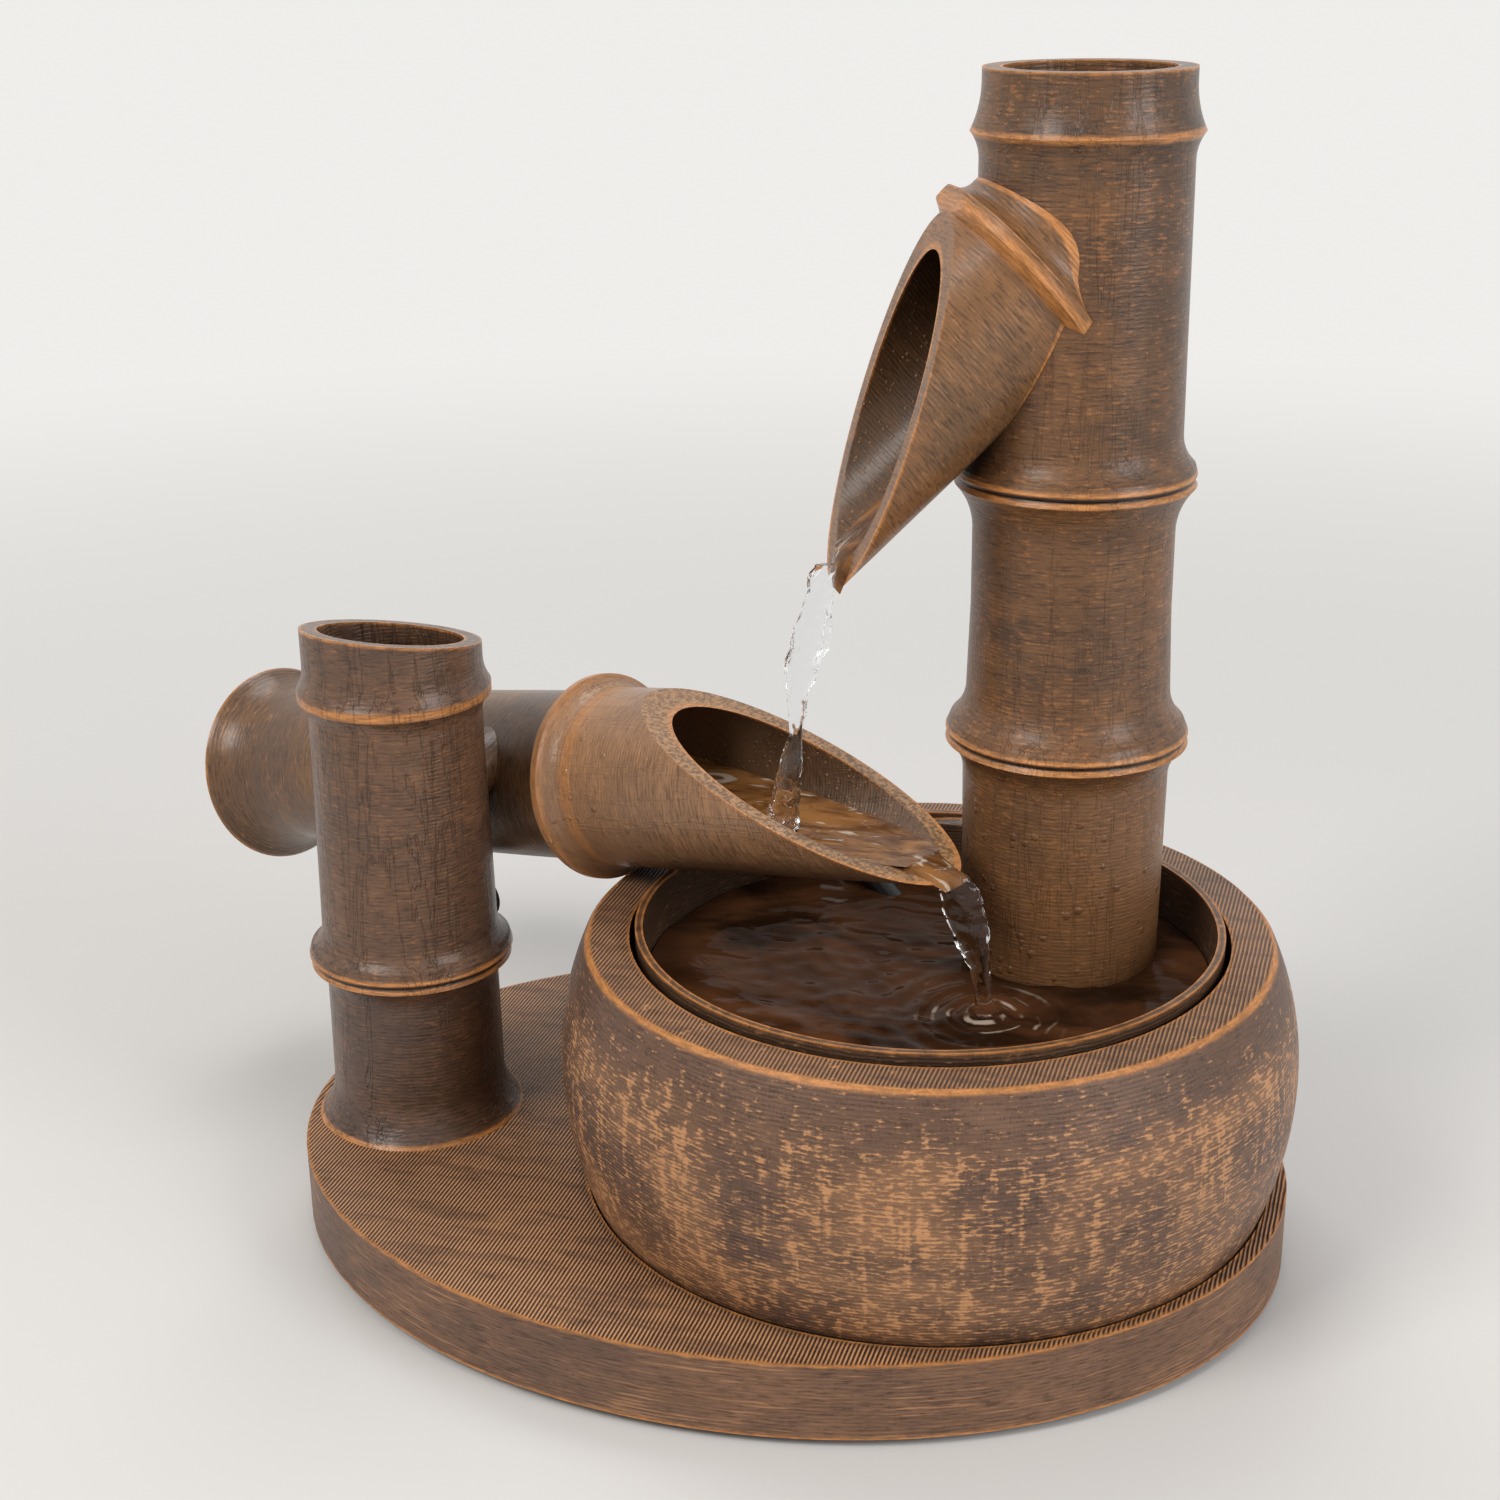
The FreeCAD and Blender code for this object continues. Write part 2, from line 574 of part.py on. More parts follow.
strainer_base = "(%s + cup_height)" % pool_floor
cover_base = "(%s + strainer_height)" % strainer_base
group("pump_cups", [
    cone("pump_cup_%d" % count, "cup_radius", "cup_radius / 2", "cup_height", level(place))
    for count, place in enumerate(ring_of(pump_axis + at("0", "0", pool_floor), "cup_circle", 3, 45.0))
])
strainer = lathe("strainer_body", [
    ("0", "0"),
    ("pump_radius", "0"),
    ("pump_radius", "strainer_height"),
    ("pump_radius - pump_wall", "strainer_height"),
    ("pump_radius - pump_wall", "pump_wall"),
    ("0", "pump_wall"),
], pump_at(strainer_base))
slits = [block("slit_%d" % count, "pump_radius * 4", "pump_wall", "strainer_height / 2",
               pump_axis + at("0", "0", "%s + pump_wall" % strainer_base)
               - turn.multVec(at("pump_radius * 2", "0", "0")), turn)
         for count, turn in enumerate(Rotation(up, 30.0 * step) for step in range(6))]
keep(cut("pump_strainer", strainer, *slits), "pump_strainer")

chamber = "(impeller_radius + run_gap)"
chamber_depth = "(vane_height + impeller_disc + run_gap * 2)"
cover = lathe("pump_cover_body", [
    ("inlet_radius", "0"),
    ("pump_radius", "0"),
    ("pump_radius", "cover_height"),
    (chamber, "cover_height"),
    (chamber, "cover_height - %s" % chamber_depth),
    ("inlet_radius", "cover_height - %s" % chamber_depth),
], pump_at(cover_base))
nipple_way = spout_way * -1
boss_corner = pump_axis + at("0", "0", cover_base)
boss_turn = Rotation(up, value("spout_heading + 180"))
boss_arm = block("boss_arm", "hose_offset + pump_offset", "nipple_boss * 2", "cover_height", boss_corner, boss_turn)
boss_post = cylinder("boss_post", "nipple_boss", "cover_height", level(hose_line + at("0", "0", cover_base)))
nipple = cylinder("nipple", "nipple_radius", "cover_height + nipple_length",
                  level(hose_line + at("0", "0", cover_base)))
hollow = cylinder("chamber_space", chamber, chamber_depth, pump_at("%s - %s" % (motor_base, chamber_depth)))
inlet = cylinder("inlet_space", "inlet_radius", "cover_height", pump_at(cover_base))
nipple_space = cylinder("nipple_space", "nipple_bore", "cover_height + nipple_length",
                        level(hose_line + at("0", "0", "%s - %s / 2" % (motor_base, chamber_depth))))
outlet_space = cylinder("outlet_space", "nipple_bore * 0.8", "hose_offset + pump_offset",
                        aimed(pump_axis + at("0", "0", "%s - %s / 2" % (motor_base, chamber_depth)),
                              nipple_way, up))
keep(cut("pump_cover", fuse("pump_cover", cover, boss_arm, boss_post, nipple), hollow, inlet, nipple_space,
         outlet_space), "pump_cover")

magnet_room = "(magnet_radius + run_gap)"
magnet_room_length = "(magnet_length + run_gap * 2)"
motor = lathe("pump_body_body", [
    (magnet_room, "0"),
    ("pump_radius", "0"),
    ("pump_radius", "motor_height - pump_wall"),
    ("pump_radius - pump_wall", "motor_height"),
    ("0", "motor_height"),
    ("0", magnet_room_length),
    (magnet_room, magnet_room_length),
], pump_at(motor_base))
shaft_base = "(%s - %s - run_gap)" % (motor_base, chamber_depth)
shaft_length = "(%s + %s + run_gap * 3 + pump_wall)" % (chamber_depth, magnet_room_length)
shaft_hole = cylinder("shaft_hole", "shaft_radius + glue_gap", shaft_length, pump_at(shaft_base))
seal_height = "(%s + seal_radius + glue_gap)" % motor_base
seal_ring = "(%s + pump_radius) / 2 + run_gap" % magnet_room
groove = doc.addObject("Part::Torus", "seal_groove")
bind(groove, Radius1=seal_ring, Radius2="seal_radius + glue_gap")
groove.Placement = pump_at(seal_height)
seal = doc.addObject("Part::Torus", "seal_ring")
bind(seal, Radius1=seal_ring, Radius2="seal_radius")
seal.Placement = pump_at(seal_height)
keep(seal, "pump_seal")
keep(cylinder("shaft_rod", "shaft_radius", shaft_length, pump_at(shaft_base)), "pump_shaft")

wheel_base = "(%s - run_gap - impeller_disc - vane_height)" % motor_base
disc = cylinder("impeller_disc_solid", "impeller_radius", "impeller_disc", pump_at("%s + vane_height" % wheel_base))
wheel_hub = cylinder("impeller_hub_solid", "impeller_hub", "vane_height + impeller_disc + run_gap * 2",
                     pump_at(wheel_base))
vanes = [block("vane_%d" % count, "impeller_radius", "vane_thickness", "vane_height",
               pump_axis + at("0", "0", wheel_base), Rotation(up, 72.0 * count)) for count in range(5)]
wheel_bore = cylinder("wheel_bore", "shaft_radius + shaft_play", "vane_height * 3", pump_at(wheel_base))
keep(cut("pump_impeller", fuse("pump_impeller", disc, wheel_hub, *vanes), wheel_bore), "pump_impeller")
magnet = cylinder("magnet_rod", "magnet_radius", "magnet_length", pump_at("%s + run_gap" % motor_base))
magnet_bore = cylinder("magnet_bore", "shaft_radius + shaft_play", "magnet_length",
                       pump_at("%s + run_gap" % motor_base))
keep(cut("pump_magnet", magnet, magnet_bore), "pump_magnet")


# Pump lead: gland, free stretch, coil, tie and plug


def rounded(points):
    """Straight runs joined by arcs as large as the runs beside them allow."""
    edges = []
    here = points[0]
    for before, corner, after in zip(points, points[1:], points[2:]):
        arriving = (corner - before).normalize()
        leaving = (after - corner).normalize()
        half_turn = arriving.getAngle(leaving) / 2
        shorter = min((corner - before).Length, (after - corner).Length)
        reach = 0.45 * shorter
        start = corner - arriving * reach
        end = corner + leaving * reach
        radius = reach / math.tan(half_turn)
        inward = (leaving - arriving).normalize()
        middle = corner + inward * (radius / math.cos(half_turn) - radius)
        edges.append(Part.makeLine(here, start))
        edges.append(Part.Arc(start, middle, end).toShape())
        print("lead radius %.1f mm" % radius)
        here = end
    edges.append(Part.makeLine(here, points[-1]))
    return Part.Wire(edges)


lead_wire = rounded(lead_points)
lead = doc.addObject("Part::Feature", "pump_lead_body")
lead.Shape = pipe(lead_wire, lead_points[0], lead_points[1] - lead_points[0], lead_radius)
keep(lead, "pump_lead")
lead_section = math.pi * lead_radius ** 2
print("lead %.1f mm, volume ratio %.4f" % (lead_wire.Length, lead.Shape.Volume / lead_section / lead_wire.Length))

gland_way = lead_way * -1
gland = cone("gland_taper", "gland_tip_radius", "gland_radius", "gland_length",
             aimed(lead_points[0], gland_way, up.cross(gland_way)))
motor_space = cylinder("motor_space", "pump_radius + glue_gap", "motor_height", pump_at(motor_base))
keep(cut("lead_gland", gland, motor_space), "lead_gland")
keep(cut("pump_body", motor, shaft_hole, groove), "pump_body")

turns_in = value("coil_turns_in")
turns_out = value("coil_turns_out")
pitch = value("coil_pitch")


def coil_point(turn):
    """A point of the coil: in along the ground layer, up in the half turn where it reverses, then out."""
    radius = value("coil_radius") - pitch * (turn if turn < turns_in else 2 * turns_in - turn)
    climb = min(max((turn - turns_in + 0.25) / 0.5, 0.0), 1.0)
    height = value("coil_height") + pitch * climb * climb * (3 - 2 * climb)
    angle = math.pi - 2 * math.pi * turn
    return Vector(value("coil_x") + radius * math.cos(angle), value("coil_y") + radius * math.sin(angle), height)


def coil_way(turn):
    step = 0.001
    return (coil_point(turn + step) - coil_point(turn - step)).normalize()


def biarc(start, start_way, end, end_way):
    """Two arcs that join two points and meet their directions."""
    span = end - start
    ways = start_way + end_way
    spread = 2 * (1 - start_way.dot(end_way))
    along = span.dot(ways)
    if spread < 1e-9:
        reach = span.dot(span) / (4 * span.dot(end_way))
    else:
        reach = (-along + math.sqrt(along * along + spread * span.dot(span))) / spread
    joint = (start + end + (start_way - end_way) * reach) * 0.5
    edges = []
    for here, way, there in ((start, start_way, joint), (end, end_way * -1, joint)):
        chord = there - here
        across = chord - way * chord.dot(way)
        if across.Length < 1e-6:
            edges.append(Part.makeLine(here, there))
            continue
        radius = chord.dot(chord) / (2 * across.Length)
        centre = here + across.normalize() * radius
        middle = centre + ((here + there) * 0.5 - centre).normalize() * radius
        edges.append(Part.Arc(here, middle, there).toShape())
    return edges


quarter_count = round(4 * (turns_in + turns_out))
stations = [(coil_point(0.25 * step), coil_way(0.25 * step)) for step in range(quarter_count + 1)]
stations[0] = (lead_points[-1], Vector(0, 1, 0))
last_way = Vector(stations[-1][1].x, stations[-1][1].y, 0).normalize()
stations[-1] = (stations[-1][0], last_way)
stations.append((stations[-1][0] + last_way * value("tail_level"), last_way))
tail_end = stations[-2][0] + last_way * value("tail_length")
tail_end.z = value("plug_radius + glue_gap")
stations.append((tail_end, last_way))
coil_edges = []
for (start, start_way), (end, end_way) in zip(stations, stations[1:]):
    coil_edges += biarc(start, start_way, end, end_way)
coil_wire = Part.Wire(Part.__sortEdges__(coil_edges))
coil = doc.addObject("Part::Feature", "lead_coil_body")
coil.Shape = pipe(coil_wire, lead_points[-1], Vector(0, 1, 0), lead_radius)
keep(coil, "lead_coil")
samples = [coil_point(0.01 * step) for step in range(int(100 * (turns_in + turns_out)) + 1)]
gap = min((samples[i] - samples[j]).Length for i in range(len(samples)) for j in range(i + 60, len(samples)))
print("coil %.1f mm long, volume ratio %.4f, least gap %.2f mm"
      % (coil_wire.Length, coil.Shape.Volume / lead_section / coil_wire.Length, gap - 2 * lead_radius))

tie_low = value("coil_radius - coil_pitch * (coil_turns_in - 0.25) - lead_diameter / 2 - tie_play - tie_sag")
tie_high = value("coil_radius - coil_pitch * 0.25 + lead_diameter / 2 + tie_play")
tie_rise = "(coil_pitch + lead_diameter + tie_play * 2)"
tie_corner = at("coil_x", "coil_y", "coil_height - lead_diameter / 2 - tie_play") + Vector(0, tie_low, 0)
tie_turn = Rotation(up, 90)
tie_inside = block("tie_inside", "%f" % (tie_high - tie_low), "tie_width * 2", tie_rise, tie_corner, tie_turn)
thickness = value("tie_thickness")
tie_outside = block("tie_outside", "%f + tie_thickness * 2" % (tie_high - tie_low), "tie_width",
                    "%s + tie_thickness * 2" % tie_rise,
                    tie_corner - Vector(0, thickness, thickness), tie_turn)
keep(cut("lead_tie", tie_outside, tie_inside), "lead_tie")

plug = lathe("plug_body_body", [
    ("0", "0"),
    ("plug_tip_radius", "0"),
    ("plug_radius", "plug_taper"),
    ("plug_radius", "plug_length - 1"),
    ("plug_radius - 1", "plug_length"),
    ("0", "plug_length"),
], aimed(tail_end, last_way, up))
keep(plug, "plug_body")
barrel_start = tail_end + last_way * value("plug_length")
keep(lathe("plug_barrel_body", [
    ("barrel_bore + barrel_wall", "0"),
    ("barrel_radius", "0"),
    ("barrel_radius", "barrel_length"),
    ("barrel_bore + barrel_wall", "barrel_length"),
], aimed(barrel_start, last_way, up)), "plug_barrel")
keep(lathe("plug_core_body", [
    ("0", "0"),
    ("barrel_bore + barrel_wall - glue_gap", "0"),
    ("barrel_bore + barrel_wall - glue_gap", "barrel_length - barrel_wall"),
    ("0", "barrel_length - barrel_wall"),
], aimed(barrel_start, last_way, up)), "plug_core")


# Post: a footed lower section and an upper section, joined at a ring

post_lower = lathe("post_lower_body", [
    ("0", "0"),
    ("post_foot_radius", "0", "end"),
    ("post_radius", "post_foot_flare"),
    ("post_radius - 0.2", "post_seam_height - ring_lip - post_ring_flare", "start"),
    ("post_ring_radius - 0.4", "post_seam_height - ring_lip"),
    ("post_ring_radius - ring_step", "post_seam_height"),
    ("post_bore + spigot_wall", "post_seam_height"),
    ("post_bore + spigot_wall", "post_seam_height + spigot_length"),
    ("post_bore", "post_seam_height + spigot_length"),
    ("post_bore", "post_floor"),
    ("0", "post_floor"),
], level(post_foot))
post_bites = [cylinder("post_bite_%d" % count, "screw_radius + glue_gap", "screw_bite + glue_gap",
                       level(place + at("0", "0", plate_top)))
              for count, place in enumerate(post_screws)]
rest_tilt = "(rocker_tilt + rocker_swing)"
axle_offset = "(post_waist_radius + rocker_gap + rocker_radius)"
peg_end = "(%s - peg_short)" % axle_offset
stop_drop = "(sqrt(rocker_radius ^ 2 - peg_short ^ 2) + buffer_radius + rest_gap + pin_above_axis)"
peg_height = "(pivot_height - %s / cos(%s) - peg_back * tan(%s))" % (stop_drop, rest_tilt, rest_tilt)
peg_line = Vector(post_foot.x, post_foot.y, value(peg_height)) - rocker_way * value("peg_back")
peg_start = peg_line + pin_way * value("peg_root")
peg_length = "(%s - peg_root)" % peg_end
peg_hole = cylinder("peg_hole", "peg_radius + glue_gap", "post_radius * 2", aimed(peg_start, pin_way, up))
keep(cut("post_lower", post_lower, peg_hole, *post_bites), "post_lower")
keep(cylinder("peg_rod", "peg_radius", peg_length, aimed(peg_start, pin_way, up)), "stop_peg")
buffer_start = peg_start + pin_way * value("%s - buffer_length" % peg_length)
buffer_outer = cylinder("buffer_outer", "buffer_radius", "buffer_length", aimed(buffer_start, pin_way, up))
buffer_inner = cylinder("buffer_inner", "peg_radius + glue_gap", "buffer_length",
                        aimed(buffer_start, pin_way, up))
keep(cut("stop_buffer", buffer_outer, buffer_inner), "stop_buffer")

upper_start = "post_seam_height"
post_upper = lathe("post_upper_body", [
    ("post_bore + spigot_wall + glue_gap", upper_start),
    ("post_ring_radius - ring_step / 2", upper_start),
    ("post_ring_radius", "%s + ring_lip / 2" % upper_start),
    ("post_ring_radius - ring_step / 2", "%s + ring_lip * 1.6" % upper_start, "end"),
    ("post_radius + 0.2", "%s + ring_lip + post_ring_flare" % upper_start),
    ("post_waist_radius", "post_node_height - post_node_fall * 3"),
    ("post_waist_radius", "post_node_height - post_node_width / 2 - post_node_fall", "start"),
    ("post_node_radius", "post_node_height - post_node_width / 2"),
    ("post_node_radius", "post_node_height + post_node_width / 2", "end"),
    ("post_top_radius", "post_node_height + post_node_width / 2 + post_node_rise"),
    ("post_top_radius", "post_height + 12"),
    ("post_bore", "post_height + 12"),
    ("post_bore", "%s + spigot_length + glue_gap" % upper_start),
    ("post_bore + spigot_wall + glue_gap", "%s + spigot_length + glue_gap" % upper_start),
], level(post_foot))
pin_line = Vector(post_foot.x, post_foot.y, value("pivot_height"))
boss = cylinder("pivot_boss", "boss_radius", "post_waist_radius - boss_reach - 1",
                aimed(pin_line + pin_way * value("boss_reach"), pin_way, up))
pin_hole = cylinder("pin_hole", "pin_radius + glue_gap", "post_waist_radius * 2",
                    aimed(pin_line, pin_way, up))
slant_way = heading("post_top_turn") * value("sin(post_top_tilt)") + up * value("cos(post_top_tilt)")
top_middle = Vector(post_foot.x, post_foot.y, value("%s + post_height" % plate_top))
slant = cylinder("post_slant", "post_top_radius * 3", "post_top_radius * 2",
                 aimed(top_middle, slant_way, up.cross(slant_way)))
keep(cut("post_upper", fuse("post_upper", post_upper, boss), pin_hole, slant), "post_upper")


# Pivot pin with its washer and clip

pin_start = pin_line + pin_way * value("boss_reach - pin_head")
hub_face = "(post_waist_radius + rocker_gap - hub_proud)"
far_face = "(%s + rocker_radius + hub_proud)" % axle_offset
pin_head = cylinder("pin_head_solid", "pin_head_radius", "pin_head", aimed(pin_start, pin_way, up))
pin_length = "(%s + bush_flange + clip_thickness + pin_tail + rest_gap - boss_reach + pin_head)" % far_face
pin_rod = cylinder("pin_rod", "pin_radius", pin_length, aimed(pin_start, pin_way, up))
keep(fuse("pivot_pin", pin_head, pin_rod), "pivot_pin")
clip_place = aimed(pin_line + pin_way * value("%s + bush_flange + rest_gap" % far_face), pin_way, up)
clip_plate = cylinder("clip_plate", "clip_radius", "clip_thickness", clip_place)
clip_hole = cylinder("clip_hole", "pin_radius + glue_gap", "clip_thickness", clip_place)
clip_gap = block("clip_gap", "clip_radius * 2", "pin_radius * 1.4", "clip_thickness",
                 clip_place.Base, clip_place.Rotation)
keep(cut("pivot_clip", clip_plate, clip_hole, clip_gap), "pivot_clip")


# Rocking tube, turned round its own axis and laid along its heading

rocker_axis = rocker_way * value("cos(rocker_tilt)") + up * value("sin(rocker_tilt)")
rocker_up = up * value("cos(rocker_tilt)") - rocker_way * value("sin(rocker_tilt)")
pin_middle = pin_line + pin_way * value(axle_offset)
tube_foot = pin_middle - rocker_up * value("pin_above_axis")
tube_place = aimed(tube_foot, rocker_axis, rocker_up)
rocker_bore = "(rocker_radius - rocker_wall)"
ring_back = "(ring_place - rocker_ring_width / 2)"
ring_front = "(ring_place + rocker_ring_width / 2)"

tail_tube = lathe("rocker_tail_body", [
    (rocker_bore, "-tail_reach"),
    ("tail_flare_radius - 0.8", "-tail_reach"),
    ("tail_flare_radius", "-tail_reach + tail_lip / 2"),
    ("tail_flare_radius - 0.6", "-tail_reach + tail_lip", "end"),
    ("rocker_radius - 0.4", "-tail_reach + tail_flare"),
    ("rocker_radius", "0"),
    ("rocker_radius", "%s + socket_length" % ring_back),
    (rocker_bore, "%s + socket_length" % ring_back),
], tube_place)
near_hub = cone("near_hub", "hub_radius", "hub_base_radius", "rocker_radius * 0.7",
                aimed(pin_line + pin_way * value(hub_face), pin_way, up))
far_hub = cylinder("far_hub", "hub_radius", "rocker_radius * 0.7",
                   aimed(pin_middle + pin_way * value("rocker_radius * 0.3 + hub_proud"), pin_way, up))
tube_inside = cylinder("tube_inside", rocker_bore, "tail_reach * 3",
                       aimed(tube_foot - rocker_axis * value("tail_reach * 1.5"), rocker_axis, rocker_up))
near_bush_place = aimed(pin_line + pin_way * value("%s + bush_flange" % hub_face), pin_way, up)
far_bush_place = aimed(pin_line + pin_way * value(far_face), pin_way * -1, up)
bush_holes = [
    cylinder("pin_tunnel", "pin_radius + run_gap", "%s * 2" % axle_offset, aimed(pin_line, pin_way, up)),
    cylinder("near_bush_hole", "bush_radius + glue_gap", "bush_length + glue_gap", near_bush_place),
    cylinder("near_flange_sink", "bush_flange_radius + glue_gap", "bush_flange",
             aimed(pin_line + pin_way * value(hub_face), pin_way, up)),
    cylinder("far_bush_hole", "bush_radius + glue_gap", "bush_length + glue_gap", far_bush_place),
]
keep(cut("rocker_tail", fuse("rocker_tail", tail_tube, near_hub, far_hub), tube_inside, *bush_holes), "rocker_tail")


def bush(label, place, back):
    """A flanged bearing bush whose flange lies behind the placed point."""
    body = cylinder(label + "_sleeve", "bush_radius", "bush_length", place)
    flange_place = Placement(place.Base - back * value("bush_flange"), place.Rotation)
    flange = cylinder(label + "_flange", "bush_flange_radius", "bush_flange", flange_place)
    space = cylinder(label + "_space", "pin_radius + pin_play", "bush_length + bush_flange", flange_place)
    return keep(cut(label, fuse(label, body, flange), space), label)


bush("near_bush", near_bush_place, pin_way)
bush("far_bush", far_bush_place, pin_way * -1)

mouth_tube = lathe("rocker_mouth_body", [
    ("rocker_radius + glue_gap", ring_back),
    ("rocker_ring_radius - 0.5", ring_back),
    ("rocker_ring_radius", "%s + rocker_ring_width / 3" % ring_back),
    ("rocker_ring_radius", ring_front, "end"),
    ("mouth_radius", "%s + rocker_ring_flare" % ring_front),
    ("lip_radius", "cut_end + 5"),
    (rocker_bore, "cut_end + 5"),
    (rocker_bore, "%s + socket_length + glue_gap" % ring_back),
    ("rocker_radius + glue_gap", "%s + socket_length + glue_gap" % ring_back),
], tube_place)
cut_slope = "((cut_end - cut_start) / (mouth_radius + lip_radius))"
slice_body = doc.addObject("PartDesign::Body", "mouth_slice")
slice_sketch = draw(slice_body, "XZ_Plane", [
    ("mouth_radius + 10", "cut_start - 10 * %s" % cut_slope),
    ("mouth_radius + 10", "cut_end + 20"),
    ("-lip_radius - 10", "cut_end + 20"),
    ("-lip_radius - 10", "cut_end + 10 * %s" % cut_slope),
])
slice_pad = slice_body.newObject("PartDesign::Pad", "mouth_slice_pad")
slice_pad.Profile = slice_sketch
slice_pad.Midplane = True
slice_pad.setExpression("Length", linked("mouth_radius * 4"))
slice_body.Placement = tube_place
keep(cut("rocker_mouth", mouth_tube, slice_body), "rocker_mouth")

bulkhead_place = aimed(tube_foot + rocker_axis * value("%s + socket_length - bulkhead_thickness" % ring_back),
                       rocker_axis, rocker_up)
keep(cylinder("bulkhead_disc", "%s - glue_gap" % rocker_bore, "bulkhead_thickness", bulkhead_place),
     "rocker_bulkhead")
cap_place = aimed(tube_foot - rocker_axis * value("tail_reach - cap_inset"), rocker_axis, rocker_up)
keep(cylinder("cap_disc", "%s - glue_gap" % rocker_bore, "cap_thickness", cap_place), "tail_cap")


# Washer between post and tube

washer_start = "(post_waist_radius + rest_gap)"
washer_place = aimed(pin_line + pin_way * value(washer_start), pin_way, up)
washer_thickness = "(%s - %s - rest_gap / 2)" % (hub_face, washer_start)
washer_disc = cylinder("washer_disc", "washer_radius", washer_thickness, washer_place)
washer_hole = cylinder("washer_hole", "pin_radius + glue_gap", washer_thickness, washer_place)
keep(cut("pivot_washer", washer_disc, washer_hole), "pivot_washer")


doc.recompute()
failed = [item.Name for item in doc.Objects if {"Invalid", "Error"} & set(item.State)]
if failed:
    raise RuntimeError("failed objects: %s" % ", ".join(failed))
for item in nodes:
    if item.Shape.isNull() or not item.Shape.isValid() or not item.Shape.Solids:
        raise RuntimeError("bad shape: %s" % item.Label)

os.makedirs("parts", exist_ok=True)
for item in nodes:
    item.Shape.exportStep("parts/%s.step" % item.Label)
    print("%-18s solids %d volume %.0f" % (item.Label, len(item.Shape.Solids), item.Shape.Volume))
print("%d sub-parts" % len(nodes))
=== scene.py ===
import math

import bmesh
import bpy
from mathutils import Matrix, Vector, noise


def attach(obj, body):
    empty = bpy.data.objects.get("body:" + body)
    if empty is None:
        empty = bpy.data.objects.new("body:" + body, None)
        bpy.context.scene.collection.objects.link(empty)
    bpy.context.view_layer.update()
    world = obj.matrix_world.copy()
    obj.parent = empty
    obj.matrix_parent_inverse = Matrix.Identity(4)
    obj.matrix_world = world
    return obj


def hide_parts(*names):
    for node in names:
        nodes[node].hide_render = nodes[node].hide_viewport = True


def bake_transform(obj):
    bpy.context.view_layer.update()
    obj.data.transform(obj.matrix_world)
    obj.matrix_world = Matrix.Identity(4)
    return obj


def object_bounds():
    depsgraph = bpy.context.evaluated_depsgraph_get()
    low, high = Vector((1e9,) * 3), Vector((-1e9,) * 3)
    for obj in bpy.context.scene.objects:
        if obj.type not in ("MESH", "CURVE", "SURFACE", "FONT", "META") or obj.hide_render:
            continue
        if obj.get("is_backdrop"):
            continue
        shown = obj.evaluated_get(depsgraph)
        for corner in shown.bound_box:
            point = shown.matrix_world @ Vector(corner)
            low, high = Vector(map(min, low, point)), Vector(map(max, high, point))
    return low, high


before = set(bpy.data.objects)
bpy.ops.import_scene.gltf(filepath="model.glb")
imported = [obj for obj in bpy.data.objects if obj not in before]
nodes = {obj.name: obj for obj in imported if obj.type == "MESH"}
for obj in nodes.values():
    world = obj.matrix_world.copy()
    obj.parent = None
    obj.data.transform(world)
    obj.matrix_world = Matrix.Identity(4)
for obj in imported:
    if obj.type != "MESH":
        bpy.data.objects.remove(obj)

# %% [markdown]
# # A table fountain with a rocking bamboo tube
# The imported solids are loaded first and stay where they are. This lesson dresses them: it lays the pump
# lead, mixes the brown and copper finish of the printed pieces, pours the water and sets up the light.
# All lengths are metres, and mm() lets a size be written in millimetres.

solid_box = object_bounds()
scene = bpy.context.scene
up = Vector((0, 0, 1))


def mm(*numbers):
    return Vector(numbers) * 0.001


def frame_of(origin, along, across):
    """A placement whose Z runs along one direction and whose X leans towards another."""
    along = along.normalized()
    across = (across - along * across.dot(along)).normalized()
    turn = Matrix((across, along.cross(across), along)).transposed().to_4x4()
    turn.translation = origin
    return turn


def add_object(name, data):
    made = bpy.data.objects.new(name, data)
    scene.collection.objects.link(made)
    return made


def show_box(label, box):
    print(label, [tuple(round(x, 4) for x in corner) for corner in box])


show_box("solid box", solid_box)

# %% [markdown]
# ## The camera
# It stands where the photograph was taken from, a little above the object and to the right of the middle.
# The place, the direction and the opening angle were worked out from the round rims, which show as ovals.

# %% Camera
camera_place = mm(133.53, -452.51, 285.65)
camera_way = Vector((-0.27886, 0.89657, -0.34409))
camera_up = Vector((-0.08953, 0.33247, 0.93886))
camera_side = camera_way.cross(camera_up).normalized()
opening_angle = 35.876

lens = bpy.data.cameras.new("photo_camera")
lens.angle = math.radians(opening_angle)
lens.clip_start = 0.01
camera = add_object("photo_camera", lens)
camera.matrix_world = frame_of(camera_place, -camera_way, camera_side)
scene.camera = camera
print("camera at", [round(x, 3) for x in camera_place])
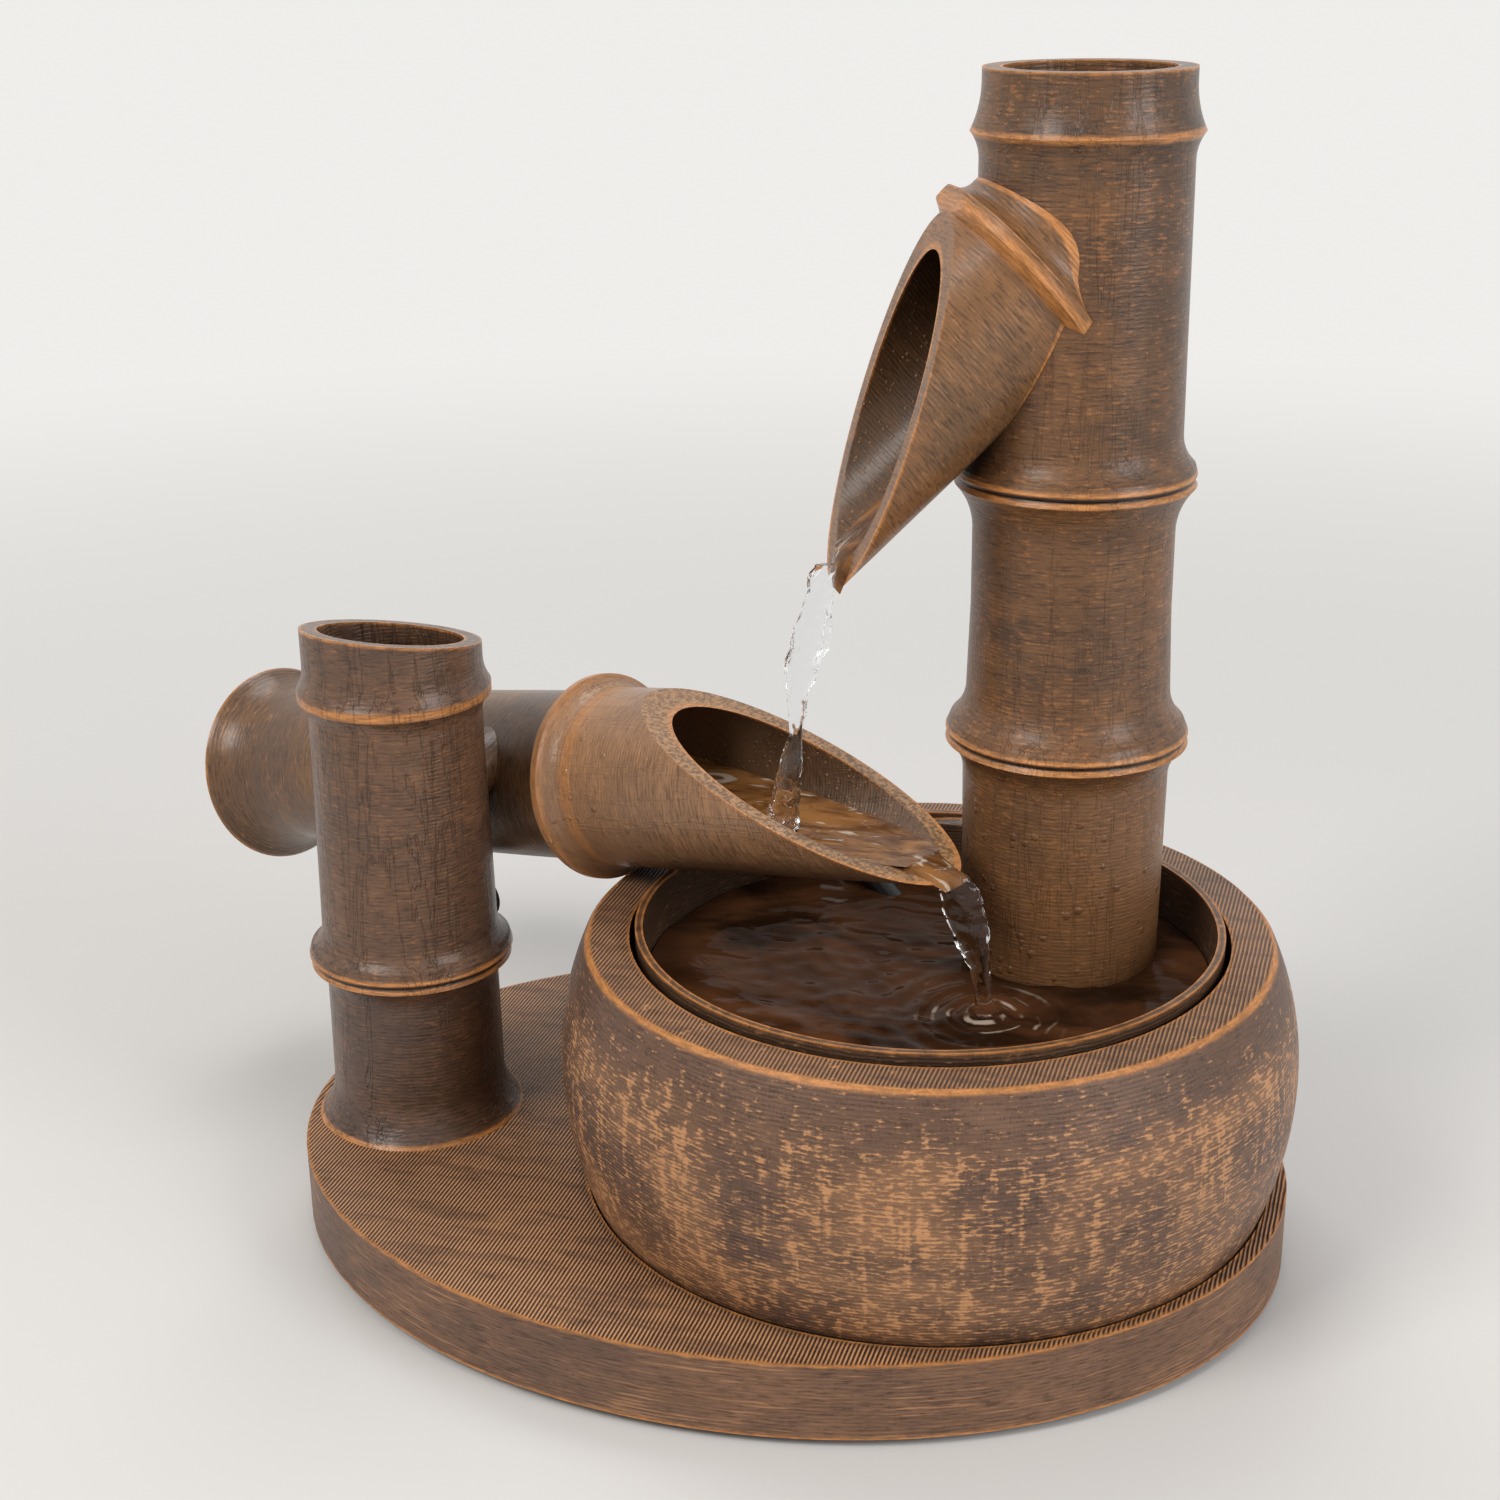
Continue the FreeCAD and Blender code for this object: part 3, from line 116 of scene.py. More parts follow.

# %% [markdown]
# ## The pump lead
# One soft 6 mm lead climbs out of the pool, over the notch in the rim, down behind the bowl and into a coil.
# It is a single smooth spline. The free points are given one by one, and the coil's come from a spiral that
# winds in on the ground, climbs one layer in half a turn and winds out again. Such a spline cuts inside its
# points, so the spiral's radius is let out by as much as it cuts. The thickness is set by each point's own
# radius and not by the bevel, because Blender pads a curve's box by that radius, one metre if unset.

# %% Lead spline
lead_diameter = 0.006
lead_route = [
    (33.0, 29.8, 52.3), (15.0, 38.6, 62.0), (0.2, 50.3, 74.8), (-14.5, 73.0, 76.0), (-24.0, 90.0, 64.0),
    (-28.5, 100.5, 43.5), (-31.0, 106.5, 23.5), (-33.5, 124.5, 8.5), (-31.2, 146.0, 4.4), (-31.2, 165.0, 4.4),
]
coil_centre = (14.0, 165.0)
coil_radius, coil_pitch, coil_height = 45.2, 6.6, 4.4
turns_in, turns_out, climb_turns = 3.0, 2.5, 0.5
points_per_turn = 16
let_out = 1 / (0.75 + 0.25 * math.cos(2 * math.pi / points_per_turn))


def coil_point(turn):
    radius = coil_radius - coil_pitch * (turn if turn < turns_in else 2 * turns_in - turn)
    climb = min(max((turn - turns_in + climb_turns / 2) / climb_turns, 0.0), 1.0)
    height = coil_height + coil_pitch * climb * climb * (3 - 2 * climb)
    angle = math.pi - 2 * math.pi * turn
    radius *= let_out
    return (coil_centre[0] + radius * math.cos(angle), coil_centre[1] + radius * math.sin(angle), height)


def cord_curve(name, points, diameter):
    data = bpy.data.curves.new(name, "CURVE")
    data.dimensions = "3D"
    spline = data.splines.new("NURBS")
    spline.points.add(len(points) - 1)
    for knot, point in zip(spline.points, points):
        knot.co = (*mm(*point), 1.0)
        knot.radius = diameter / 2
    spline.order_u = 3
    spline.use_endpoint_u = True
    spline.resolution_u = 8
    data.bevel_depth = 1.0
    data.bevel_resolution = 6
    data.use_fill_caps = True
    return add_object(name, data)


coil_steps = round(points_per_turn * (turns_in + turns_out))
coil_points = [coil_point(step / points_per_turn) for step in range(1, coil_steps + 1)]
coil_end = Vector(coil_points[-1])
lead_end = Vector((coil_end.x, 123.0, 5.28))
tail_points = [(coil_end.x, 152.0, 11.0), (coil_end.x, 142.0, 10.6), (coil_end.x, 132.0, 5.6), tuple(lead_end)]
lead = cord_curve("lead_cord", lead_route + coil_points + tail_points, lead_diameter)
print("lead has", len(lead.data.splines[0].points), "control points")

# %% [markdown]
# ## Joining rings of points
# Most of the shapes here are rings of points joined into a skin: turned pieces, the strap and the water. So
# the joining is one helper. A ring may be a single point, which gives a tip, and both ends may get a cap.

# %% Mesh helpers
def bridge(work, rings, capped=False):
    """Join each ring of points to the next one."""
    for low, high in zip(rings, rings[1:]):
        count = max(len(low), len(high))
        for i in range(count):
            j = (i + 1) % count
            corners = (low[i % len(low)], low[j % len(low)], high[j % len(high)], high[i % len(high)])
            work.faces.new(list(dict.fromkeys(corners)))
    if capped:
        work.faces.new(rings[0])
        work.faces.new(rings[-1][::-1])


def smooth_but_sharp(mesh, angle):
    """Smooth shading that keeps the edges which turn by more than an angle."""
    mesh.polygons.foreach_set("use_smooth", [True] * len(mesh.polygons))
    mesh.set_sharp_from_angle(angle=math.radians(angle))


def finish_mesh(name, work, sharp=35, place=None):
    bmesh.ops.recalc_face_normals(work, faces=work.faces)
    if place is not None:
        work.transform(place)
    mesh = bpy.data.meshes.new(name)
    work.to_mesh(mesh)
    work.free()
    smooth_but_sharp(mesh, sharp)
    piece = add_object(name, mesh)
    print("made", name, "with", len(mesh.vertices), "points")
    return piece


print("mesh helpers ready")

# %% [markdown]
# ## Turned pieces on the lead
# The strain relief and the plug are round, so an outline is spun round an axis, as on a lathe. Ribs on the
# strain relief and grip rings on the plug are only more corners in that outline.

# %% Spin an outline
def spun(name, outline, place, steps=48):
    """Spin (radius, height) corners, in millimetres, round the placement's Z."""
    work = bmesh.new()
    turns = [2 * math.pi * i / steps for i in range(steps)]
    rings = []
    for radius, height in outline:
        corners = [mm(radius * math.cos(turn), radius * math.sin(turn), height) for turn in turns]
        rings.append([work.verts.new(corner) for corner in (corners if radius else corners[:1])])
    bridge(work, rings)
    return finish_mesh(name, work, place=place)


gland_foot = mm(*lead_route[0])
gland_way = (gland_foot - mm(*lead_route[1])).normalized()
gland_outline = [(0, 0), (3.15, 0), (3.4, 0.3)]
for rib in range(4):
    foot = 1.4 + rib * 1.5
    size = 3.45 + 0.058 * foot
    gland_outline += [(size, foot - 0.35), (size - 0.35, foot), (size - 0.35, foot + 0.6), (size + 0.03, foot + 0.9)]
gland_outline += [(4.1, 11.5), (4.1, 12.6), (0, 12.6)]
gland = spun("lead_gland_ribbed", gland_outline, frame_of(gland_foot, gland_way, up))

plug_place = frame_of(lead_end * 0.001, Vector((0, -1, 0)), up)
plug_outline = [(0, 0), (3.5, 0), (4.0, 0.4), (4.2, 3.0), (3.8, 3.3), (3.8, 4.1), (4.3, 4.4), (4.5, 6.4), (4.2, 6.7),
                (4.2, 7.5), (4.7, 7.8), (5.15, 9.6)]
for ring in range(5):
    foot = 12.0 + ring * 1.8
    plug_outline += [(5.2, foot - 0.5), (4.9, foot - 0.2), (4.9, foot + 0.3), (5.2, foot + 0.6)]
plug_outline += [(5.2, 24.6), (4.9, 25.4), (4.3, 26.0), (0, 26.0)]
plug = spun("plug_moulded", plug_outline, plug_place)

# %% [markdown]
# ## The tie
# A woven hook and loop strap holds one side of the coil. Its loop is a rounded rectangle round the bundle,
# drawn as one closed band whose thin edges are rounded by a small bevel.

# %% Tie strap
tie_low, tie_high = 165 + 22.9, 165 + 46.7
tie_base, tie_roof = 1.25, 14.15
tie_width, tie_thick, tie_round = 10.0, 1.1, 2.6


def rounded_loop(grow, steps=6):
    """Corners of the tie's rounded rectangle, grown by some millimetres, from its lower right."""
    low, high, base, roof = tie_low - grow, tie_high + grow, tie_base - grow, tie_roof + grow
    corner = tie_round + grow
    ring = []
    for across, height, start in ((high - corner, base + corner, -90), (high - corner, roof - corner, 0),
                                  (low + corner, roof - corner, 90), (low + corner, base + corner, 180)):
        for step in range(steps + 1):
            turn = math.radians(start + 90 * step / steps)
            ring.append((across + corner * math.cos(turn), height + corner * math.sin(turn)))
    return ring


def strap(name):
    inner, outer, half = rounded_loop(0.0), rounded_loop(tie_thick), tie_width / 2
    work = bmesh.new()
    rings = [[work.verts.new(mm(coil_centre[0] + side, y, z)) for y, z in ring]
             for ring, side in ((outer, -half), (outer, half), (inner, half), (inner, -half))]
    bridge(work, rings + rings[:1])
    return finish_mesh(name, work)


tie = strap("lead_tie_woven")
bevel = tie.modifiers.new("soft_edges", "BEVEL")
bevel.width = 0.00025
bevel.segments = 2
print("tie spans", round(tie_high - tie_low, 1), "mm")

# %% [markdown]
# ## Attach the lead
# The soft pieces made above are attached to the root body and stand for the plain solids of the same
# parts, which are hidden.

for piece in (lead, gland, tie, plug):
    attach(piece, "root")
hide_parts("pump_lead", "lead_coil")
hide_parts("lead_gland")
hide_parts("lead_tie")
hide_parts("plug_body")
print("lead leaves the pump at", lead_route[0], "mm")

# %% [markdown]
# ## Tools for materials
# A finish is a tree of shader nodes. A few helpers keep the trees readable: put() adds a node and joins its
# inputs, times(), plus() and minus() do sums with masks, and shade() fills the sockets of the shader.

# %% Material helpers
def feed(tree, socket, source):
    """Join a socket to another node's output, or set its value."""
    if isinstance(source, bpy.types.NodeSocket):
        tree.links.new(source, socket)
    else:
        socket.default_value = source


def put(tree, kind, wires=None, **settings):
    made = tree.nodes.new(kind)
    for key, setting in settings.items():
        setattr(made, key, setting)
    for label, source in (wires or {}).items():
        feed(tree, made.inputs[label], source)
    return made


def reckon(tree, operation, *terms, clamp=False):
    return put(tree, "ShaderNodeMath", dict(enumerate(terms)), operation=operation, use_clamp=clamp).outputs[0]


def times(tree, first, *others):
    for other in others:
        first = reckon(tree, "MULTIPLY", first, other)
    return first


def plus(tree, first, *others):
    for other in others:
        first = reckon(tree, "ADD", first, other)
    return first


def minus(tree, first, second, clamp=False):
    return reckon(tree, "SUBTRACT", first, second, clamp=clamp)


def vector_reckon(tree, operation, *terms):
    outputs = put(tree, "ShaderNodeVectorMath", dict(enumerate(terms)), operation=operation).outputs
    return outputs["Vector" if operation == "MULTIPLY" else "Value"]


def between(tree, source, low, high, start=0.0, end=1.0):
    """A soft step: start below low, end above high."""
    wires = {"Value": source, "From Min": low, "From Max": high, "To Min": start, "To Max": end}
    return put(tree, "ShaderNodeMapRange", wires, interpolation_type="SMOOTHSTEP").outputs[0]


def mixed(tree, factor, first, second):
    return put(tree, "ShaderNodeMix", {0: factor, 6: first, 7: second}, data_type="RGBA").outputs[2]


def tint(colour, share):
    return tuple(min(1.0, share * part) for part in colour[:3]) + (1,)


print("sums and colours ready")

# %% [markdown]
# ## Places, noise and the shader
# Each finish reads the place on the object, in metres, so a noise with a scale of 1000 has grains about a
# millimetre wide. Noise stretched along one axis gives streaks. All finishes start and end the same way: with
# a new material, and with a bump and the sockets of its Principled shader.

# %% Places, noise and the shader
def object_place(tree):
    return put(tree, "ShaderNodeTexCoord").outputs["Object"]


def z_of(tree, vector):
    return put(tree, "ShaderNodeSeparateXYZ", {0: vector}).outputs[2]


def stretched(tree, vector, scale, turn=(0, 0, 0)):
    return put(tree, "ShaderNodeMapping", {"Vector": vector, "Scale": scale, "Rotation": turn}).outputs[0]


def grain(tree, vector, scale=1.0, detail=3.0, rough=0.55, twist=0.0):
    wires = {"Vector": vector, "Scale": scale, "Detail": detail, "Roughness": rough, "Distortion": twist}
    return put(tree, "ShaderNodeTexNoise", wires).outputs["Fac"]


def streaks(tree, vector, stretch, detail=3.0, rough=0.55, twist=0.0):
    return grain(tree, stretched(tree, vector, stretch), 1.0, detail, rough, twist)


def openness(tree, distance, **settings):
    """1 on open ground, less where the solid closes in within a distance."""
    return put(tree, "ShaderNodeAmbientOcclusion", {"Distance": distance}, samples=8, **settings).outputs["AO"]


def start(name):
    material = bpy.data.materials.new(name)
    material.use_nodes = True
    return material, material.node_tree


def shade(tree, relief, **sockets):
    """Fill the shader's sockets. The relief is a bump's height, strength and depth in metres."""
    shader = tree.nodes["Principled BSDF"]
    if relief is not None:
        bump = put(tree, "ShaderNodeBump", dict(zip(("Height", "Strength", "Distance"), relief)))
        sockets["Normal"] = bump.outputs[0]
    for label, source in sockets.items():
        feed(tree, shader.inputs[label.replace("_", " ")], source)
    return shader


print("node helpers ready")

# %% [markdown]
# ## Shared effects
# An effect that several finishes use, such as edge wear, is built once as a node group with named inputs and
# outputs. Each finish then places it with its own values. Inside a group there are only masks and heights.

# %% Group helpers
def group(name, inputs, outputs):
    """Start an effect. An input whose default isn't one number is a vector."""
    tree = bpy.data.node_groups.new(name, "ShaderNodeTree")
    for label, default in inputs.items():
        kind = "NodeSocketFloat" if isinstance(default, float) else "NodeSocketVector"
        socket = tree.interface.new_socket(label, in_out="INPUT", socket_type=kind)
        if default is not None:
            socket.default_value = default
    for label in outputs:
        tree.interface.new_socket(label, in_out="OUTPUT", socket_type="NodeSocketFloat")
    return tree, tree.nodes.new("NodeGroupInput").outputs


def give(tree, **results):
    """Send the results to the effect's outputs."""
    put(tree, "NodeGroupOutput", results)
    print("made", tree.name)


def use(tree, effect, **wires):
    return put(tree, "ShaderNodeGroup", wires, node_tree=effect).outputs


print("group helpers ready")

# %% [markdown]
# ## Rubbed edges
# Copper paste was rubbed over the brown print, so it sits on every outer edge. Rays sent into the solid meet
# a second face only near an outer edge, which is how the Ambient Occlusion node finds one with Inside on.
# Noise breaks the line up, as a dry finger does.

# %% Edge wear group
edge_wear, given = group("edge_wear", {"Vector": None, "Width": 0.0012, "Patchiness": 0.5}, ["Mask"])
edge = minus(edge_wear, 1.0, openness(edge_wear, given["Width"], inside=True, only_local=True))
patches = grain(edge_wear, given["Vector"], 260.0, 4.0, 0.7)
weak = times(edge_wear, minus(edge_wear, patches, 0.5), given["Patchiness"])
give(edge_wear, Mask=between(edge_wear, plus(edge_wear, edge, weak), 0.16, 0.42))

# %% [markdown]
# ## Printed lines
# A wide nozzle left lines under 1 mm apart: level ones up every wall, and straight diagonal ones on the flat
# tops. A sine of one coordinate gives the line, and a little noise keeps it from looking ruled.

# %% Line group
line_spacing = 0.00087
printed_lines, given = group("printed_lines", {"Vector": None, "Spacing": line_spacing, "Wander": 0.0003}, ["Height"])
drift = minus(printed_lines, grain(printed_lines, given["Vector"], 150.0, 3.0), 0.5)
across = z_of(printed_lines, given["Vector"])
across = plus(printed_lines, across, times(printed_lines, drift, given["Wander"]))
turns = times(printed_lines, reckon(printed_lines, "DIVIDE", across, given["Spacing"]), 2 * math.pi)
give(printed_lines, Height=reckon(printed_lines, "MULTIPLY_ADD", reckon(printed_lines, "SINE", turns), 0.5, 0.5))

# %% [markdown]
# ## Dry-brushed flecks
# On the flanks the paste caught only the crests of the printed layers, in short level dashes that gather in
# patches and in thin upright strings. A squeezed noise makes the dashes. Broad noise (rub), upright noise
# (strings) and the layers' own crests help it over the level above which it shows.

# %% Fleck group
dry_brush, given = group("dry_brush", {"Vector": None, "Stretch": (330, 330, 1050), "Amount": 0.5, "Columns": 0.5,
                                       "Layers": 0.5}, ["Mask", "Rub", "Height"])
dashes = grain(dry_brush, vector_reckon(dry_brush, "MULTIPLY", given["Vector"], given["Stretch"]), 1.0, 3.0, 0.65)
rub = between(dry_brush, streaks(dry_brush, given["Vector"], (38, 38, 55), 3.0, 0.6), 0.38, 0.64)
strings = between(dry_brush, streaks(dry_brush, given["Vector"], (420, 420, 26), 2.0, 0.5), 0.5, 0.72)
help_up = plus(dry_brush, times(dry_brush, rub, 0.07),
               times(dry_brush, strings, given["Columns"], 0.14),
               times(dry_brush, given["Amount"], 0.1),
               times(dry_brush, minus(dry_brush, given["Layers"], 0.5), 0.09))
give(dry_brush, Mask=between(dry_brush, plus(dry_brush, dashes, help_up), 0.625, 0.79),
     Rub=times(dry_brush, rub, given["Amount"]), Height=dashes)

# %% [markdown]
# ## Wet runs and drops
# Water has run down the walls and stands in beads where it splashes. Long upright noise gives the runs. The
# beads are Voronoi cells: a dome in the middle of each cell, kept only where the cell's own number is low.

# %% Wet groups
wet_runs, given = group("wet_runs", {"Vector": None, "Share": 0.5}, ["Mask"])
long_noise = streaks(wet_runs, given["Vector"], (190, 190, 16), 4.0, 0.65, 0.4)
thin = between(wet_runs, reckon(wet_runs, "ABSOLUTE", minus(wet_runs, long_noise, 0.5)), 0.0, 0.022, 1.0, 0.0)
broad = between(wet_runs, streaks(wet_runs, given["Vector"], (42, 42, 12), 2.0), 0.6, 0.5)
give(wet_runs, Mask=times(wet_runs, thin, broad, given["Share"]))

beads, given = group("beads", {"Vector": None, "Scale": 700.0, "Share": 0.3}, ["Height", "Mask"])
cells = put(beads, "ShaderNodeTexVoronoi", {"Vector": given["Vector"], "Scale": given["Scale"]}).outputs
luck = put(beads, "ShaderNodeSeparateColor", {0: cells["Color"]}).outputs[0]
kept = reckon(beads, "LESS_THAN", luck, given["Share"])
size = reckon(beads, "MULTIPLY_ADD", luck, -0.5, 0.42)
dome = minus(beads, 1.0, reckon(beads, "DIVIDE", cells["Distance"], size), clamp=True)
dome = times(beads, reckon(beads, "SQRT", dome), kept)
give(beads, Height=dome, Mask=between(beads, dome, 0.0, 0.3))

# %% [markdown]
# ## The bronzed finish
# Every printed piece has this finish with its own values. It is painted in layers, mostly in the order a maker would
# work: an umber ground, brushed flecks, hatched tops, painted shade in the corners, rubbed edges, and the wet runs
# and beads at the end. A Coat keeps what the effects add to. Its texture stands on the piece's own axis, as the piece
# was printed.

# %% Coat
copper = (0.6, 0.25, 0.075, 1)
# Pale copper paste; the same colour paints glints on the drops in the bores.
pale_copper_and_glint = (0.5, 0.25, 0.112, 1)
bright_copper = (0.62, 0.32, 0.15, 1)
# Dark umber for the cloth grain's hollows, dark joints, print furrows and wet runs, and also for painted shade in
# corners and bores.
grime_and_shade = (0.022, 0.011, 0.006, 1)


class Coat:
    """A finish under way. Each effect paints over its colour and lifts its surface."""

    def __init__(self, name, centre, axis):
        self.material, self.tree = start(name)
        self.own = put(self.tree, "ShaderNodeMapping", {
            "Vector": object_place(self.tree), "Location": mm(*centre),
            "Rotation": up.rotation_difference(Vector(axis)).to_euler()}, vector_type="TEXTURE").outputs[0]
        self.height_up = z_of(self.tree, self.own)

    def paint(self, mask, colour):
        self.colour = mixed(self.tree, mask, self.colour, colour)

    def lift(self, mask, amount):
        self.relief = plus(self.tree, self.relief, times(self.tree, mask, amount))

    def radius_out(self):
        flat = vector_reckon(self.tree, "MULTIPLY", self.own, (1, 1, 0))
        return vector_reckon(self.tree, "LENGTH", flat)


print("copper on umber:", copper[:3], "on", grime_and_shade[:3])

# %% [markdown]
# ### Ground and flecks
# The brown wash drifts between a warm and a cool tone, with lighter stains and a fine cloth-like grain, darker
# in its hollows. The paste is brushed on over it, and a bare zone keeps it off part of the height.

# %% Ground and flecks
def lay_ground(coat, cool, warm, cross):
    tree, own = coat.tree, coat.own
    coat.drift = streaks(tree, own, (16, 16, 30), 4.0, 0.6)
    coat.stain = streaks(tree, own, (60, 60, 130), 5.0, 0.7)
    coat.lifted = tint(warm, 1.45)
    coat.colour = mixed(tree, between(tree, coat.drift, 0.36, 0.62), cool, warm)
    coat.paint(between(tree, coat.stain, 0.46, 0.72, 0.0, 0.75), coat.lifted)
    weave = streaks(tree, own, (260, 260, 2300), 3.0, 0.65)
    upright = streaks(tree, own, (2200, 2200, 170), 2.0, 0.6)
    coat.cloth = plus(tree, times(tree, weave, 1 - cross), times(tree, upright, cross))
    coat.paint(between(tree, coat.cloth, 0.52, 0.36, 0.0, 0.6), grime_and_shade)


def brush_on(coat, warm, paste, flecks, columns, share, dash, bare, lines):
    tree = coat.tree
    if bare is not None:
        flecks = between(tree, coat.height_up, bare[0] * 0.001, bare[1] * 0.001, flecks, -0.4)
    layers = use(tree, printed_lines, Vector=coat.own, Spacing=line_spacing, Wander=0.0009)["Height"]
    brush = use(tree, dry_brush, Vector=coat.own, Stretch=dash, Amount=flecks, Columns=columns, Layers=layers)
    coat.paint(times(tree, brush["Rub"], 0.6 * share), tuple(0.5 * (a + b) for a, b in zip(warm, paste)))
    coat.paint(times(tree, brush["Mask"], share), paste)
    coat.relief = times(tree, layers, lines)
    coat.lift(brush["Height"], 0.7)
    coat.lift(coat.cloth, 0.6)


print("ground and flecks ready")

# %% [markdown]
# ### Hatched tops and the sanded lip
# The printer filled level faces with straight diagonal lines, and the paste caught their crests. Only a face
# that looks up gets them. The tube's slanted lip was sanded, so it is paler and grainy and holds drops.

# %% Hatched tops and the sanded lip
def hatch_tops(coat, angle, furrows, polish):
    tree = coat.tree
    normal = put(tree, "ShaderNodeNewGeometry").outputs["Normal"]
    level = between(tree, z_of(tree, normal), 0.9, 0.97)
    slanted = stretched(tree, coat.own, (1, 1, 1), (0, math.radians(90), math.radians(angle)))
    strokes = use(tree, printed_lines, Vector=slanted, Spacing=line_spacing, Wander=0.0003)["Height"]
    patch = between(tree, streaks(tree, slanted, (220, 220, 45), 4.0, 0.65), 0.34, 0.55, 0.45 * polish, polish)
    rubbed = times(tree, between(tree, strokes, 0.35, 0.9), patch)
    coat.paint(times(tree, level, between(tree, strokes, 0.45, 0.05, 0.0, furrows)), grime_and_shade)
    coat.paint(times(tree, level, rubbed), bright_copper)
    coat.lift(strokes, times(tree, level, 1.4))


def sand_face(coat, face):
    tree = coat.tree
    normal = put(tree, "ShaderNodeTexCoord").outputs["Normal"]
    on_face = between(tree, vector_reckon(tree, "DOT_PRODUCT", normal, tuple(face)), 0.93, 0.98)
    drops = use(tree, beads, Vector=coat.own, Share=0.45, Scale=1300.0)
    speckle = between(tree, grain(tree, coat.own, 900.0, 2.0), 0.4, 0.62)
    coat.paint(times(tree, on_face, 0.85), mixed(tree, speckle, (0.13, 0.062, 0.02, 1), (0.4, 0.21, 0.085, 1)))
    coat.lift(times(tree, drops["Height"], on_face), 1.6)


print("hatched tops and sanded lip ready")

# %% [markdown]
# ### Painted shade in corners and bores
# Painted shade darkens tight corners, a few millimetres wide, and a bore gets more painted shade far inside. The
# wall of a bore that carries water gets painted shade too, and is dotted with drops that carry painted glints: it
# is found by its radius from the tube's axis.

# %% Painted shade in corners and bores
def paint_shade(coat, distance, low, high, most):
    # Painted shade where the solid closes in within the distance.
    coat.paint(between(coat.tree, openness(coat.tree, distance), low, high, 0.0, most), grime_and_shade)


def shade_bore(coat, bore):
    tree = coat.tree
    bore_wall = between(tree, coat.radius_out(), bore * 0.001 + 0.0007, bore * 0.001 + 0.0002)
    # Painted shade over the bore's inner wall.
    coat.paint(times(tree, bore_wall, 0.55), grime_and_shade)
    dots = use(tree, beads, Vector=coat.own, Share=0.3, Scale=900.0)
    # Painted glints: pale spots on the drops on the bore's wall.
    coat.paint(times(tree, dots["Mask"], bore_wall, 0.3), pale_copper_and_glint)
    coat.lift(times(tree, dots["Height"], bore_wall), 1.6)


print("corners and bores ready")

# %% [markdown]
# ### Rubbed edges, rings and seams
# Besides the outer edges, the paste caught the raised bamboo rings (bands, at a height) and the bowl's rim
# (rims, at a radius), while the seams between the sections (grooves) stayed dark. Sizes are in millimetres.

# %% Rubbed edges, rings and seams
def rub_edges(coat, width, bands, rims, grooves):
    tree, height_up = coat.tree, coat.height_up
    worn = use(tree, edge_wear, Vector=coat.own, Width=width, Patchiness=0.5)["Mask"]

    def off_by(place, middle):
        return reckon(tree, "ABSOLUTE", minus(tree, place, middle * 0.001))

    def ragged_line(place, middle, half):
        """Full to 0.3 of its half width, gone at 1.2 of it, and bent by the stains."""
        away = plus(tree, off_by(place, middle), times(tree, minus(tree, coat.stain, 0.5), 0.0016))
        return between(tree, away, half * 0.0012, half * 0.0003)

    for middle, half in bands:
        worn = reckon(tree, "MAXIMUM", worn, ragged_line(height_up, middle, half))
    for radius, half, foot in rims:
        above = between(tree, height_up, foot * 0.001, foot * 0.001 + 0.001)
        worn = reckon(tree, "MAXIMUM", worn, times(tree, ragged_line(coat.radius_out(), radius, half), above))
    for middle, half in grooves:
        groove = between(tree, off_by(height_up, middle), half * 0.0012, half * 0.0006)
        coat.paint(groove, grime_and_shade)
        worn = minus(tree, worn, groove, clamp=True)
    coat.paint(times(tree, worn, 0.92), mixed(tree, between(tree, coat.cloth, 0.62, 0.4), copper, tint(copper, 0.6)))


print("edges, rings and seams ready")

# %% [markdown]
# ### Runs and beads
# Runs lie a little darker, glossier and prouder than the dry print. Beads stand where splashes land. Their
# reach says, along the piece's own axis, where they begin and where they are at their fullest.

# %% Runs and beads
def wet_walls(coat, runs):
    tree = coat.tree
    run = use(tree, wet_runs, Vector=coat.own, Share=runs)["Mask"]
    wrinkles = streaks(tree, coat.own, (210, 210, 330), 3.0, 0.6, 1.2)
    coat.paint(times(tree, run, 0.12), grime_and_shade)
    coat.gloss = minus(tree, coat.gloss, times(tree, run, 0.12))
    coat.lift(run, 1.3)
    coat.lift(wrinkles, 1.1 * runs)


def splash(coat, share, reach):
    tree = coat.tree
    wet = use(tree, beads, Vector=coat.own, Share=share, Scale=420.0)
    low = between(tree, coat.height_up, reach[0] * 0.001, reach[1] * 0.001)
    # Painted light: the low part gets a lighter tone to offset the shade that falls there.
    coat.paint(times(tree, low, 0.4), coat.lifted)
    coat.lift(times(tree, wet["Height"], low), 2.4)
    dulled = minus(tree, 1.0, times(tree, wet["Mask"], low, 0.85))
    coat.gloss = times(tree, coat.gloss, dulled)


print("runs and beads ready")

# %% [markdown]
# ### The whole finish
# One function lays the effects over each other, in the order they would be done by hand. Light catches the
# printed lines through the bump, and a thin clear coat stands for the film of water.

